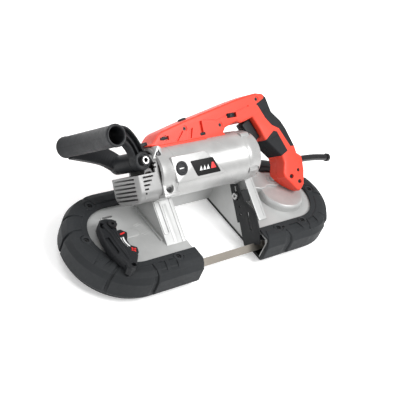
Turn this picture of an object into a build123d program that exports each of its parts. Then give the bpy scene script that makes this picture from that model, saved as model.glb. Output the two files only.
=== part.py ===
"""Portable deep-cut band saw: two wheel housings, a motor across them, a pistol grip and a loop handle."""

import os
from math import atan2, cos, degrees, hypot, pi, radians, sin

from build123d import *

os.makedirs("parts", exist_ok=True)

# Driving sizes, in millimetres.
WHEEL_SPACING = 340.0
BLADE_LENGTH = 1140.0
BLADE_WIDTH = 13.0
BLADE_THICK = 0.65
CUT_TILT = 43.0  # turn of the cutting plane from the wheel plane, in degrees
REST_DEPTH = 50.0  # from the front of the plates back to the resting face
HALF = WHEEL_SPACING / 2
BAND_R = (BLADE_LENGTH - 2 * WHEEL_SPACING) / (2 * pi)
GAP = 0.3  # air between bodies that pass each other
RUN = 0.05  # radial clearance of a running fit

# Frames. Plate planes are (x, y) parallel to the wheels, with z = 0 on the front of the plates.
# Saw planes are (x, a): along the blade, and up from the blade to the motor; h runs out to the front.
BOX_CENTRE = (16.2, 31.7)
ORIGIN = Vector(-BOX_CENTRE[0], -BOX_CENTRE[1], REST_DEPTH)
TILT = radians(CUT_TILT)
UP = Vector(0, cos(TILT), sin(TILT))
OUT = Vector(0, -sin(TILT), cos(TILT))
PLATE = Plane(ORIGIN)
SIDE = Plane(ORIGIN, x_dir=(0, 1, 0), z_dir=(1, 0, 0))
SAW = Plane(ORIGIN, x_dir=(1, 0, 0), z_dir=OUT)
CROSS = Plane(ORIGIN, x_dir=UP, z_dir=(1, 0, 0))


def saw_point(x, a, h):
    """A point given along the saw's own directions."""
    return SAW.from_local_coords(Vector(x, a, h))


def upright(x, a, h):
    """A plane whose normal is the saw's up direction, for pins and rollers."""
    return Plane(saw_point(x, a, h), x_dir=(1, 0, 0), z_dir=UP)


def save(piece, name):
    piece.part.label = name
    export_step(piece.part, f"parts/{name}.step")
    box = piece.part.bounding_box()
    LIMITS.append((tuple(box.min), tuple(box.max)))
    if box.min.Z < -0.01:
        print("below the resting face:", name, round(box.min.Z, 2))


LIMITS = []

# Heights through the plates.
WALL = 4.0
WHEEL_Z = -28.0
WHEEL_WIDE = 14.0
HOUSING_BACK = -44.0
HOUSING_R = 88.0
LIP_R = 61.0
LIP_TOP = 4.0
BUMPER_R = 98.0
BUMPER_BACK = -43.0
THROAT_LEFT = -75.0
THROAT_RIGHT = 74.0
BUMPER_RIGHT = 68.0
BLADE_A = -BAND_R * cos(TILT) + WHEEL_Z * sin(TILT)
BLADE_H = BAND_R * sin(TILT) + WHEEL_Z * cos(TILT)

# Screw places: on the plates in (x, y), and on the handle in (x, a).
BUMPER_SCREWS = ((-195, 69), (-135.5, 76), (-240, 5), (-115, -70), (105, -71), (166, -70), (240, -8))
HANDLE_SCREWS = ((-82.7, 134.6), (37, 140), (129, 172.4), (-39, 144), (198, 37.4), (179, 29), (196.7, 17))

# Motor, along x.
MOTOR_A = 83.5
MOTOR_H = 14.0
MOTOR_R = 43.0
MOTOR_IN = 39.0
MOTOR_LEFT = -118.0
CAP_LEFT = 67.0
CAP_RIGHT = 100.0
MOTOR_Y = MOTOR_A * cos(TILT) - MOTOR_H * sin(TILT)
MOTOR_Z = MOTOR_A * sin(TILT) + MOTOR_H * cos(TILT)

# Gear train: motor pinion, face gear on the down shaft, lay shaft, wheel shaft.
MODULE = 1.5
PINION_TEETH, FACE_TEETH = 10, 15
PINION_R = 6.25
FACE_R = PINION_R * FACE_TEETH / PINION_TEETH
DOWN_TEETH, LAY_TEETH = 9, 49
LAY_PINION_TEETH, WHEEL_TEETH = 13, 62
DOWN_X = 86.5
LAY_TO_WHEEL = MODULE * (LAY_PINION_TEETH + WHEEL_TEETH) / 2
DOWN_TO_LAY = MODULE * (DOWN_TEETH + LAY_TEETH) / 2
UPPER_GEARS = (-10.5, -5.0)
LOWER_GEARS = (-19.5, -12.0)


def lay_centre():
    """Where circles of the two centre distances cross, on the side nearer the throat's top."""
    dx, dy = DOWN_X - HALF, MOTOR_Y
    span = hypot(dx, dy)
    along = (LAY_TO_WHEEL**2 - DOWN_TO_LAY**2 + span**2) / (2 * span)
    off = (LAY_TO_WHEEL**2 - along**2) ** 0.5
    return HALF + (along * dx + off * dy) / span, (along * dy - off * dx) / span


LAY_X, LAY_Y = lay_centre()


def gear_points(teeth, module, phase=0.0):
    """Corners of a straight-flanked gear with one tooth centred on the phase angle, in degrees."""
    radius = module * teeth / 2
    tip, root = radius + 0.8 * module, radius - 1.15 * module
    pitch = 2 * pi / teeth
    points = []
    for tooth in range(teeth):
        centre = radians(phase) + tooth * pitch
        for share, r in ((-0.34, root), (-0.11, tip), (0.11, tip), (0.34, root)):
            points.append((r * cos(centre + share * pitch), r * sin(centre + share * pitch)))
    return points


def tube(x, long, outer, inner):
    """A tube or a bar round the motor's axis."""
    with BuildPart() as barrel:
        with BuildSketch(CROSS.offset(x)):
            with Locations((MOTOR_A, MOTOR_H)):
                Circle(outer)
                if inner:
                    Circle(inner, mode=Mode.SUBTRACT)
        extrude(amount=long)
    return barrel


# Housings -----------------------------------------------------------------------------------------


def d_outline(side, radius, throat):
    """A wheel housing's outline: a round end, and straight sides to the throat."""
    centre = side * HALF
    with BuildSketch() as shape:
        with Locations((centre, 0)):
            Circle(radius)
        with Locations(((centre + throat) / 2, 0)):
            Rectangle(abs(centre - throat), 2 * radius)
    return shape.sketch


def gusset(x_low, x_high):
    """A wedge from the plate up to the motor, scooped out for the motor."""
    with BuildPart() as wedge:
        with BuildSketch(SIDE.offset(x_low)):
            Polygon((-43, -1), (-43, 0), (26, 39.5), (45, 55), (62, 30), (62, -1), align=None)
        extrude(amount=x_high - x_low)
        with BuildSketch(CROSS.offset(x_low - 1)):
            with Locations((MOTOR_A, MOTOR_H)):
                Circle(MOTOR_R)
        extrude(amount=x_high - x_low + 2, mode=Mode.SUBTRACT)
        fronts = wedge.edges().filter_by(Axis.X).sort_by(Axis.Y)[:2]
        chamfer(fronts.sort_by(Axis.Z)[-1], 0.6)
    return wedge.part


def housing(side, throat, wedge):
    """Front plate, rim wall and throat wall in one casting."""
    inner_throat = throat + side * WALL
    with BuildPart() as casting:
        with BuildSketch(PLATE.offset(HOUSING_BACK)):
            add(d_outline(side, HOUSING_R, throat))
        extrude(amount=-HOUSING_BACK)
        with BuildSketch(PLATE.offset(HOUSING_BACK)):
            add(d_outline(side, HOUSING_R - WALL, inner_throat))
        extrude(amount=-HOUSING_BACK - WALL, mode=Mode.SUBTRACT)
        # The blade passes out at the bottom of the throat wall and through its top.
        with BuildSketch(PLATE.offset(HOUSING_BACK)):
            with Locations((throat, -BAND_R)):
                Rectangle(4 * WALL, 19)
            with Locations((throat, BAND_R)):
                Rectangle(4 * WALL, 9)
        extrude(amount=-HOUSING_BACK - 2 * WALL, mode=Mode.SUBTRACT)
        add(wedge)
    return casting


IDLER_SLOT = 12.0
RAIL_Y = 18.0

with BuildPart() as frame_left:
    add(housing(-1, THROAT_LEFT, gusset(-115.5, -77)).part)
    # Slot for the pin that joins the tension cam to the idler carriage.
    with BuildSketch(PLATE.offset(-WALL)):
        with Locations((-HALF + 5, 0)):
            SlotOverall(34, IDLER_SLOT)
    extrude(amount=WALL, mode=Mode.SUBTRACT)
    # Raised rib along the throat edge of the plate, and the adjuster slot.
    with BuildSketch(PLATE):
        with Locations((-118, 12)):
            Rectangle(4, 84)
    extrude(amount=2.4)
    with BuildSketch(PLATE.offset(-WALL)):
        with Locations((-178, 41)):
            SlotOverall(20, 5)
    extrude(amount=WALL, mode=Mode.SUBTRACT)
save(frame_left, "frame_left")

BOSS_R = 40.0
BOSS_TOP = 5.0
COVER_TOP = 14.0
WHEEL_SHAFT_R = 7.5
LAY_SHAFT_R = 5.0
DOWN_SHAFT_R = 5.0
BEARING_WALL = 6.0

with BuildPart() as frame_right:
    add(housing(1, THROAT_RIGHT, gusset(84, 103)).part)
    with BuildSketch(PLATE):
        with Locations((HALF, 0)):
            Circle(BOSS_R)
    extrude(amount=BOSS_TOP)
    # Openings for the wheel shaft bearing and the gears' upper ends, under the gear cover.
    with BuildSketch(PLATE.offset(-WALL)):
        with Locations((HALF, 0)):
            Circle(WHEEL_SHAFT_R + BEARING_WALL)
        with Locations((LAY_X, LAY_Y)):
            Circle(LAY_SHAFT_R + BEARING_WALL)
    extrude(amount=WALL + BOSS_TOP, mode=Mode.SUBTRACT)
    # A lower web that closes in the down shaft beside the gusset.
    with BuildSketch(SIDE.offset(THROAT_RIGHT)):
        Polygon((20, -1), (20, 19), (33, 27), (45, 50), (62, 30), (62, -1), align=None)
    extrude(amount=11)
    add(tube(THROAT_RIGHT - 1, 40, MOTOR_R, 0).part, mode=Mode.SUBTRACT)
    # The down shaft comes through it from the motor's end cap.
    with BuildSketch(PLATE.offset(-WALL)):
        with Locations((DOWN_X, MOTOR_Y)):
            Circle(DOWN_SHAFT_R + BEARING_WALL)
    extrude(amount=WALL + 6, mode=Mode.SUBTRACT)
    with BuildSketch(PLATE):
        with Locations((DOWN_X, MOTOR_Y)):
            Circle(DOWN_SHAFT_R + 1.5)
    extrude(amount=80, mode=Mode.SUBTRACT)
save(frame_right, "frame_right")

BRIDGE_BACK = HOUSING_BACK + 3
with BuildPart() as frame_bridge:
    bridge_x = (THROAT_LEFT + THROAT_RIGHT) / 2
    bridge_long = THROAT_RIGHT - THROAT_LEFT
    with BuildSketch(SIDE.offset(THROAT_LEFT)):
        Polygon((66, HOUSING_BACK), (88, HOUSING_BACK), (88, 0), (66, 0), align=None)
        Polygon((69, BRIDGE_BACK), (85, BRIDGE_BACK), (85, -3), (69, -3), align=None, mode=Mode.SUBTRACT)
    extrude(amount=bridge_long)
    fillet(frame_bridge.edges().filter_by(Axis.X).group_by(Axis.Z)[-1], 2)
save(frame_bridge, "frame_bridge")

GUARD_THICK = 3.0
GUARD_IN = REST_DEPTH - GUARD_THICK


def rear_guard(side, throat):
    """A dished cover over the back of a wheel, with the face that the saw lies on."""
    with BuildPart() as guard:
        with BuildSketch(PLATE.offset(-REST_DEPTH)):
            add(d_outline(side, HOUSING_R, throat))
        extrude(amount=REST_DEPTH + HOUSING_BACK)
        with BuildSketch(PLATE.offset(-GUARD_IN)):
            add(d_outline(side, HOUSING_R - WALL, throat + side * WALL))
        extrude(amount=GUARD_IN, mode=Mode.SUBTRACT)
        chamfer(guard.edges().group_by(Axis.Z)[0], 1.5)
    return guard


rear_guard_left = rear_guard(-1, THROAT_LEFT)
save(rear_guard_left, "rear_guard_left")
rear_guard_right = rear_guard(1, THROAT_RIGHT)
save(rear_guard_right, "rear_guard_right")


def bumper(side, throat):
    """Rubber sleeve round a housing, with a lip over the front plate."""
    with BuildPart() as rubber:
        with BuildSketch(PLATE.offset(BUMPER_BACK)):
            add(d_outline(side, BUMPER_R, throat))
        extrude(amount=LIP_TOP - BUMPER_BACK)
        rims = rubber.edges().group_by(Axis.Z)[-1].sort_by(lambda edge: side * edge.center().X)[1:]
        chamfer(rims, 5)
        with BuildSketch(PLATE.offset(BUMPER_BACK)):
            add(d_outline(side, HOUSING_R, throat - side * 20))
        extrude(amount=-BUMPER_BACK, mode=Mode.SUBTRACT)
        with BuildSketch(PLATE):
            add(d_outline(side, LIP_R, throat - side * 20))
            with Locations((0, HOUSING_R)):
                Rectangle(250, 2 * (HOUSING_R - 36), align=(Align.CENTER, Align.MAX))
        extrude(amount=LIP_TOP, mode=Mode.SUBTRACT)
        with BuildSketch(PLATE):
            with Locations(*BUMPER_SCREWS):
                Circle(4)
        extrude(amount=LIP_TOP, mode=Mode.SUBTRACT)
        # The top side stops short, beside the motor.
        with BuildSketch(PLATE.offset(BUMPER_BACK)):
            with Locations((0, HOUSING_R)):
                Rectangle(250, 30)
        extrude(amount=LIP_TOP - BUMPER_BACK, mode=Mode.SUBTRACT)
    return rubber


bumper_left = bumper(-1, THROAT_LEFT)
save(bumper_left, "bumper_left")
bumper_right = bumper(1, BUMPER_RIGHT)
save(bumper_right, "bumper_right")

# Blade and wheels ---------------------------------------------------------------------------------

TWIST_FAR, TWIST_NEAR = 150.0, 112.0
TWIST_STEPS = 3


def band_section(x, turn):
    """The blade's cross-section on its lower run, turned from the wheel's plane."""
    out = Vector(0, sin(radians(turn)), cos(radians(turn)))
    place = Plane(ORIGIN + Vector(x, -BAND_R, WHEEL_Z), x_dir=out, z_dir=(1, 0, 0))
    with BuildSketch(place) as section:
        Rectangle(BLADE_WIDTH, BLADE_THICK)
    return section.sketch.face()


THROAT_TURN = 90 - CUT_TILT

with BuildPart() as blade:
    with BuildSketch(PLATE.offset(WHEEL_Z - BLADE_WIDTH / 2)):
        SlotCenterToCenter(WHEEL_SPACING, 2 * BAND_R + BLADE_THICK)
        SlotCenterToCenter(WHEEL_SPACING, 2 * BAND_R - BLADE_THICK, mode=Mode.SUBTRACT)
        with Locations((0, -BAND_R)):
            Rectangle(2 * TWIST_FAR, 10, mode=Mode.SUBTRACT)
    extrude(amount=BLADE_WIDTH)
    for end in (-1, 1):
        for step in range(TWIST_STEPS):
            near, far = step / TWIST_STEPS, (step + 1) / TWIST_STEPS
            reach = TWIST_NEAR - TWIST_FAR
            first = band_section(end * (TWIST_FAR + near * reach), near * THROAT_TURN)
            second = band_section(end * (TWIST_FAR + far * reach), far * THROAT_TURN)
            add(Solid.make_loft([first.outer_wire(), second.outer_wire()], ruled=True))
    add(Solid.extrude(band_section(-TWIST_NEAR, THROAT_TURN), Vector(2 * TWIST_NEAR, 0, 0)))
save(blade, "blade")

RIM_R = 70.2
TYRE_R = BAND_R - BLADE_THICK / 2 - GAP
HUB_R = 16.0


def wheel(side, hub_top, bore):
    """A cast wheel: rim, thin web with round holes, and a hub."""
    with BuildPart() as cast:
        with BuildSketch(PLATE.offset(WHEEL_Z - WHEEL_WIDE / 2)):
            with Locations((side * HALF, 0)):
                Circle(RIM_R)
                Circle(RIM_R - 6, mode=Mode.SUBTRACT)
        extrude(amount=WHEEL_WIDE)
        with BuildSketch(PLATE.offset(WHEEL_Z - 2.5)):
            with Locations((side * HALF, 0)):
                Circle(RIM_R - 6)
                with PolarLocations(42, 6):
                    Circle(11, mode=Mode.SUBTRACT)
        extrude(amount=5)
        with BuildSketch(PLATE.offset(WHEEL_Z - WHEEL_WIDE / 2)):
            with Locations((side * HALF, 0)):
                Circle(HUB_R)
        extrude(amount=hub_top - WHEEL_Z + WHEEL_WIDE / 2)
        with BuildSketch(PLATE.offset(WHEEL_Z - WHEEL_WIDE / 2)):
            with Locations((side * HALF, 0)):
                Circle(bore)
        extrude(amount=2 * WHEEL_WIDE, mode=Mode.SUBTRACT)
    return cast


def ring(x, y, z, high, outer, inner):
    """A plain ring round an axis along z."""
    with BuildPart() as hoop:
        with BuildSketch(PLATE.offset(z)):
            with Locations((x, y)):
                Circle(outer)
                Circle(inner, mode=Mode.SUBTRACT)
        extrude(amount=high)
    return hoop


IDLER_AXLE_R = 8.0
IDLER_BEARING_R = 11.0
drive_wheel = wheel(1, WHEEL_Z + WHEEL_WIDE / 2, WHEEL_SHAFT_R)
save(drive_wheel, "drive_wheel")
idler_wheel = wheel(-1, WHEEL_Z + WHEEL_WIDE / 2, IDLER_BEARING_R)
save(idler_wheel, "idler_wheel")
TYRE_Z = WHEEL_Z - WHEEL_WIDE / 2
drive_tyre = ring(HALF, 0, TYRE_Z, WHEEL_WIDE, TYRE_R, RIM_R)
save(drive_tyre, "drive_tyre")
idler_tyre = ring(-HALF, 0, TYRE_Z, WHEEL_WIDE, TYRE_R, RIM_R)
save(idler_tyre, "idler_tyre")
idler_bush = ring(-HALF, 0, TYRE_Z, WHEEL_WIDE, IDLER_BEARING_R, IDLER_AXLE_R + RUN)
save(idler_bush, "idler_bush")

SHAFT_TOP = 9.0
with BuildPart() as drive_shaft:
    with BuildSketch(PLATE.offset(TYRE_Z)):
        with Locations((HALF, 0)):
            Circle(WHEEL_SHAFT_R)
    extrude(amount=SHAFT_TOP - TYRE_Z)
    with BuildSketch(PLATE.offset(TYRE_Z - 2.5)):
        with Locations((HALF, 0)):
            RegularPolygon(11, 6)
    extrude(amount=2.5)
save(drive_shaft, "drive_shaft")

LAY_ANGLE = degrees(atan2(LAY_Y, LAY_X - HALF))
DOWN_ANGLE = degrees(atan2(MOTOR_Y - LAY_Y, DOWN_X - LAY_X))


def spur(x, y, levels, teeth, phase, bore):
    """A spur gear round a z axis, with a tooth at the phase angle."""
    with BuildPart() as gear:
        with BuildSketch(PLATE.offset(levels[0])):
            with Locations((x, y)):
                Polygon(*gear_points(teeth, MODULE, phase), align=None)
                Circle(bore, mode=Mode.SUBTRACT)
        extrude(amount=levels[1] - levels[0])
    return gear


wheel_gear = spur(HALF, 0, LOWER_GEARS, WHEEL_TEETH, LAY_ANGLE, WHEEL_SHAFT_R)
save(wheel_gear, "wheel_gear")

with BuildPart() as lay_shaft:
    half_tooth = 180 / LAY_PINION_TEETH
    add(spur(LAY_X, LAY_Y, LOWER_GEARS, LAY_PINION_TEETH, LAY_ANGLE + 180 + half_tooth, 1).part)
    add(spur(LAY_X, LAY_Y, UPPER_GEARS, LAY_TEETH, DOWN_ANGLE, 1).part)
    with BuildSketch(PLATE.offset(LOWER_GEARS[0] - 1)):
        with Locations((LAY_X, LAY_Y)):
            Circle(LAY_SHAFT_R)
    extrude(amount=SHAFT_TOP - LOWER_GEARS[0] + 1)
save(lay_shaft, "lay_shaft")

FACE_PLANE = MOTOR_Z - PINION_R
FACE_DISC = 4.0
FACE_HALF = 2.2
with BuildPart() as down_shaft:
    half_tooth = 180 / DOWN_TEETH
    add(spur(DOWN_X, MOTOR_Y, UPPER_GEARS, DOWN_TEETH, DOWN_ANGLE + 180 + half_tooth, 1).part)
    with BuildSketch(PLATE.offset(UPPER_GEARS[0] - 1)):
        with Locations((DOWN_X, MOTOR_Y)):
            Circle(DOWN_SHAFT_R)
    extrude(amount=FACE_PLANE - UPPER_GEARS[0])
    with BuildSketch(PLATE.offset(FACE_PLANE - 1.4 - FACE_DISC)):
        with Locations((DOWN_X, MOTOR_Y)):
            Circle(FACE_R + FACE_HALF)
    extrude(amount=FACE_DISC)
    with BuildSketch(PLATE.offset(FACE_PLANE - 1.4)):
        with Locations((DOWN_X, MOTOR_Y)):
            with PolarLocations(FACE_R, FACE_TEETH, start_angle=180 + 180 / FACE_TEETH):
                Rectangle(2 * FACE_HALF, 0.9)
    extrude(amount=2.1)
save(down_shaft, "down_shaft")


# Bearings that stand in the castings, round the wheel, lay and down shafts.
with BuildPart() as shaft_bearings:
    for x, y, shaft, low, high in (
        (HALF, 0, WHEEL_SHAFT_R, -WALL, BOSS_TOP),
        (LAY_X, LAY_Y, LAY_SHAFT_R, -WALL, 2.0),
        (DOWN_X, MOTOR_Y, DOWN_SHAFT_R, -WALL, 6.0),
    ):
        add(ring(x, y, low, high - low, shaft + BEARING_WALL, shaft + RUN).part)
save(shaft_bearings, "shaft_bearings")

# The cover over the gears: two rounds joined, hollow, with bolt lugs.
COVER_R, COVER_WALL = 22.0, 2.5


def cover_shape(radius):
    with BuildSketch() as outline:
        with Locations((LAY_X, LAY_Y), (HALF - 2, 0)):
            Circle(radius)
        make_hull()
    return outline.sketch


COVER_BOLTS = ((LAY_X + 14, LAY_Y + 12), (HALF - 4, 24))
with BuildPart() as gear_cover:
    with BuildSketch(PLATE.offset(BOSS_TOP)):
        add(cover_shape(COVER_R))
        with Locations(*COVER_BOLTS):
            Circle(6.5)
    extrude(amount=COVER_TOP - BOSS_TOP)
    fillet(gear_cover.edges().group_by(Axis.Z)[-1], 2)
    with BuildSketch(PLATE):
        add(cover_shape(COVER_R))
        with Locations((HALF, 0)):
            Circle(BOSS_R, mode=Mode.SUBTRACT)
    extrude(amount=BOSS_TOP)
    with BuildSketch(PLATE):
        add(cover_shape(COVER_R - COVER_WALL))
    extrude(amount=COVER_TOP - COVER_WALL, mode=Mode.SUBTRACT)
save(gear_cover, "gear_cover")

# Idler carriage and its tension gear ----------------------------------------------------------------

with BuildPart() as idler_carriage:
    with BuildSketch(PLATE.offset(-14)):
        with Locations((-HALF, 0)):
            Rectangle(44, 2 * (RAIL_Y - GAP))
    extrude(amount=9)
    with BuildSketch(PLATE.offset(-20)):
        with Locations((-HALF, 0)):
            Circle(12)
    extrude(amount=7)
    # The pin that the tension cam drives, through the plate's slot.
    with BuildSketch(PLATE.offset(-6)):
        with Locations((-HALF, 0)):
            Circle(4)
    extrude(amount=7)
    with BuildSketch(PLATE.offset(TYRE_Z)):
        with Locations((-HALF, 0)):
            Circle(IDLER_AXLE_R)
    extrude(amount=-20 - TYRE_Z)
    with BuildSketch(PLATE.offset(TYRE_Z - GAP - 2)):
        with Locations((-HALF, 0)):
            Circle(13)
    extrude(amount=2)
    with BuildSketch(PLATE.offset(TYRE_Z - GAP)):
        with Locations((-HALF, 0)):
            Circle(IDLER_AXLE_R)
    extrude(amount=GAP)
save(idler_carriage, "idler_carriage")

with BuildPart() as carriage_rails:
    for side in (-1, 1):
        with BuildSketch(SIDE.offset(-HALF - 40)):
            Polygon(
                (side * RAIL_Y, -4), (side * (RAIL_Y + 7), -4), (side * (RAIL_Y + 7), -17),
                (side * (RAIL_Y - 3), -17), (side * (RAIL_Y - 3), -14.3), (side * RAIL_Y, -14.3), align=None,
            )
        extrude(amount=72)
save(carriage_rails, "carriage_rails")

SPRING_LONG = 14.0
with BuildPart() as tension_spring:
    for y in (-10, 10):
        start = ORIGIN + Vector(-HALF + 22.9, y, -9.5)
        with BuildLine() as coil:
            Helix(pitch=3.5, height=SPRING_LONG, radius=3.2, center=start, direction=(1, 0, 0))
        with BuildSketch(Plane(coil.line @ 0, z_dir=coil.line % 0)):
            Circle(0.7)
        sweep(path=coil.line, is_frenet=True)
save(tension_spring, "tension_spring")

# The lever lies over the plate; its pivot is at its upper end and its finger end hangs over the bumper.
LEVER_PIVOT = (-196.0, 8.0)
LEVER_Z = (6.0, 20.0)
with BuildPart() as tension_lever:
    with BuildSketch(PLATE.offset(LEVER_Z[0])):
        with BuildLine():
            Polyline((-182, 16), (-188, 22), (-198, 25.5), (-208, 25), (-217, 16), (-221, 4))
            Spline((-221, 4), (-226, -24), (-224, -48), (-217.5, -65.5))
            Polyline((-217.5, -65.5), (-220.5, -74), (-217, -81), (-208, -80), (-196, -66), (-188, -56.5))
            Spline((-188, -56.5), (-196, -38), (-195, -10), (-182, 16))
        make_face()
    extrude(amount=LEVER_Z[1] - LEVER_Z[0])
    with BuildSketch(PLATE.offset(LEVER_Z[0])):
        with Locations(LEVER_PIVOT):
            Circle(4 + RUN)
    extrude(amount=20, mode=Mode.SUBTRACT)
    # The flange that carries the tighter and looser marks.
    with BuildSketch(PLATE.offset(LEVER_Z[0])):
        with BuildLine():
            Spline((-190, 0), (-195.5, -20), (-194, -46))
            Polyline((-194, -46), (-179, -42))
            Spline((-179, -42), (-181, -20), (-175, -5))
            Polyline((-175, -5), (-190, 0))
        make_face()
    extrude(amount=5)
save(tension_lever, "tension_lever")

with BuildPart() as lever_pivot:
    with BuildSketch(PLATE):
        with Locations(LEVER_PIVOT):
            Circle(4)
    extrude(amount=LEVER_Z[1] + GAP)
    with BuildSketch(PLATE.offset(LEVER_Z[1] + GAP)):
        with Locations(LEVER_PIVOT):
            Circle(7)
            RegularPolygon(3, 6, mode=Mode.SUBTRACT)
    extrude(amount=4)
    # A washer between the lever and the plate.
    with BuildSketch(PLATE):
        with Locations(LEVER_PIVOT):
            Circle(9)
    extrude(amount=LEVER_Z[0] - GAP)
save(lever_pivot, "lever_pivot")

# Blade guides --------------------------------------------------------------------------------------

GUIDE_X = 88.0
ROLLER_R = 5.0
ROLLER_IN = 1.5
PIN_GAP = 0.05
ROLLER_OFF = BLADE_THICK / 2 + GAP + ROLLER_R
BACK_A = BLADE_A + BLADE_WIDTH / 2 + GAP + ROLLER_R
GUIDE_LOW = BLADE_A + BLADE_WIDTH / 2 + 2.0
GUIDE_TALL = 9.0

for end, side in (("left", -1), ("right", 1)):
    x_rollers = side * GUIDE_X
    x_back = side * (GUIDE_X + 14)
    with BuildPart() as guide_bracket:
        with BuildSketch(CROSS.offset(min(side * (GUIDE_X - 9), side * (GUIDE_X + 23)))):
            with Locations((GUIDE_LOW + GUIDE_TALL / 2, BLADE_H)):
                Rectangle(GUIDE_TALL, 26)
        extrude(amount=32)
        with BuildSketch(PLATE.offset(-22)):
            with Locations((side * (GUIDE_X + 7), -61)):
                Rectangle(32, 10)
        extrude(amount=22 - WALL)
        with BuildSketch(SAW.offset(BLADE_H - 5)):
            with Locations((x_back, BACK_A)):
                Circle(ROLLER_R + 1)
        extrude(amount=10, mode=Mode.SUBTRACT)
        with BuildSketch(SAW.offset(BLADE_H - 13)):
            with Locations((x_back, BACK_A)):
                Circle(ROLLER_IN)
        extrude(amount=26)
        for out in (-1, 1):
            with BuildSketch(upright(x_rollers, BLADE_A - 5, BLADE_H + out * ROLLER_OFF)):
                Circle(ROLLER_IN)
            extrude(amount=BLADE_WIDTH + 2)
    save(guide_bracket, f"guide_bracket_{end}")
    for place, out in (("front", 1), ("back", -1)):
        with BuildPart() as guide_roller:
            with BuildSketch(upright(x_rollers, BLADE_A - 4, BLADE_H + out * ROLLER_OFF)):
                Circle(ROLLER_R)
                Circle(ROLLER_IN + PIN_GAP, mode=Mode.SUBTRACT)
            extrude(amount=BLADE_WIDTH - 1)
        save(guide_roller, f"guide_roller_{end}_{place}")
    with BuildPart() as edge_roller:
        with BuildSketch(SAW.offset(BLADE_H - 4)):
            with Locations((x_back, BACK_A)):
                Circle(ROLLER_R)
                Circle(ROLLER_IN + PIN_GAP, mode=Mode.SUBTRACT)
        extrude(amount=8)
    save(edge_roller, f"edge_roller_{end}")

STOP_X = 64.0
STOP_THICK = 3.0
with BuildPart() as work_stop:
    with BuildSketch(CROSS.offset(STOP_X)):
        Polygon((38, -3), (38, 17), (7, 25), (-7, 40), (-17, 47), (-43, 48), (-69, 42), (-70, -2), align=None)
        with Locations((-53, BLADE_H)):
            Rectangle(48, 6, mode=Mode.SUBTRACT)
        # The slot that the clamping screw slides in.
        with Locations((22, 8)):
            SlotOverall(26, 5.7, mode=Mode.SUBTRACT)
    extrude(amount=STOP_THICK)
save(work_stop, "work_stop")

with BuildPart() as stop_bracket:
    with BuildSketch(CROSS.offset(STOP_X + STOP_THICK + GAP)):
        with Locations((14, 8)):
            Rectangle(20, 20)
    extrude(amount=84 - STOP_X - STOP_THICK - GAP)
save(stop_bracket, "stop_bracket")
with BuildPart() as stop_screw:
    with BuildSketch(CROSS.offset(STOP_X - GAP)):
        with Locations((17, 8)):
            Circle(2.5)
    extrude(amount=STOP_THICK + 2 * GAP)
    with BuildSketch(CROSS.offset(STOP_X - GAP - 4)):
        with Locations((17, 8)):
            Circle(5.5)
            RegularPolygon(2.6, 6, mode=Mode.SUBTRACT)
    extrude(amount=4)
save(stop_screw, "stop_screw")

# Motor --------------------------------------------------------------------------------------------


FLAT_H = 57.2
BRUSH_X = -80.0
BRUSH_R = 9.0
FOOT = (-116.0, -92.0)

with BuildPart() as motor_housing:
    add(tube(MOTOR_LEFT, CAP_LEFT - MOTOR_LEFT, MOTOR_R, 0).part)
    # Flat pad for the badge and the brush cap, and the foot over the left gusset.
    with BuildSketch(SAW.offset(MOTOR_H)):
        Polygon((-96, 98), (8, 98), (14, 62), (-92, 62), align=None)
    extrude(amount=FLAT_H - MOTOR_H)
    with BuildSketch(SAW.offset(MOTOR_H)):
        Polygon((-118, 92), (-104, 92), (FOOT[1], 44), (-118, 44), align=None)
    extrude(amount=38)
    add(tube(MOTOR_LEFT, CAP_LEFT - MOTOR_LEFT, MOTOR_IN, 0).part, mode=Mode.SUBTRACT)
    # The wall that holds the armature's left bearing.
    add(tube(-112, 6, MOTOR_IN, 11).part)
    with BuildSketch(SAW.offset(MOTOR_H - 60)):
        with Locations((BRUSH_X, MOTOR_A)):
            Circle(BRUSH_R)
    extrude(amount=120, mode=Mode.SUBTRACT)
    # Recess for the foot bolt.
    with BuildSketch(SAW.offset(MOTOR_H + 30)):
        with Locations((-107, 55)):
            Circle(4.5)
    extrude(amount=20, mode=Mode.SUBTRACT)
save(motor_housing, "motor_housing")

with BuildPart() as end_cap:
    add(tube(CAP_LEFT, CAP_RIGHT - CAP_LEFT, MOTOR_R, 0).part)
    # Three screw lugs on the rim.
    with BuildSketch(CROSS.offset(CAP_LEFT)):
        with Locations((MOTOR_A, MOTOR_H)):
            with PolarLocations(MOTOR_R - 3, 3, start_angle=38):
                Circle(6.5)
    extrude(amount=20)
    fillet(end_cap.edges().filter_by(GeomType.CIRCLE).sort_by(Axis.X)[-1], 9)
    add(tube(CAP_LEFT, 24, MOTOR_IN, 0).part, mode=Mode.SUBTRACT)
    add(tube(CAP_LEFT, CAP_RIGHT - CAP_LEFT - 1.6, 30, 0).part, mode=Mode.SUBTRACT)
    # The wall that holds the armature's right bearing.
    add(tube(CAP_LEFT - 4, 6, MOTOR_IN, 11).part)
    with BuildSketch(PLATE.offset(0)):
        with Locations((DOWN_X, MOTOR_Y)):
            Circle(DOWN_SHAFT_R + 1.5)
    extrude(amount=MOTOR_Z - 12, mode=Mode.SUBTRACT)
save(end_cap, "end_cap")

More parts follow.
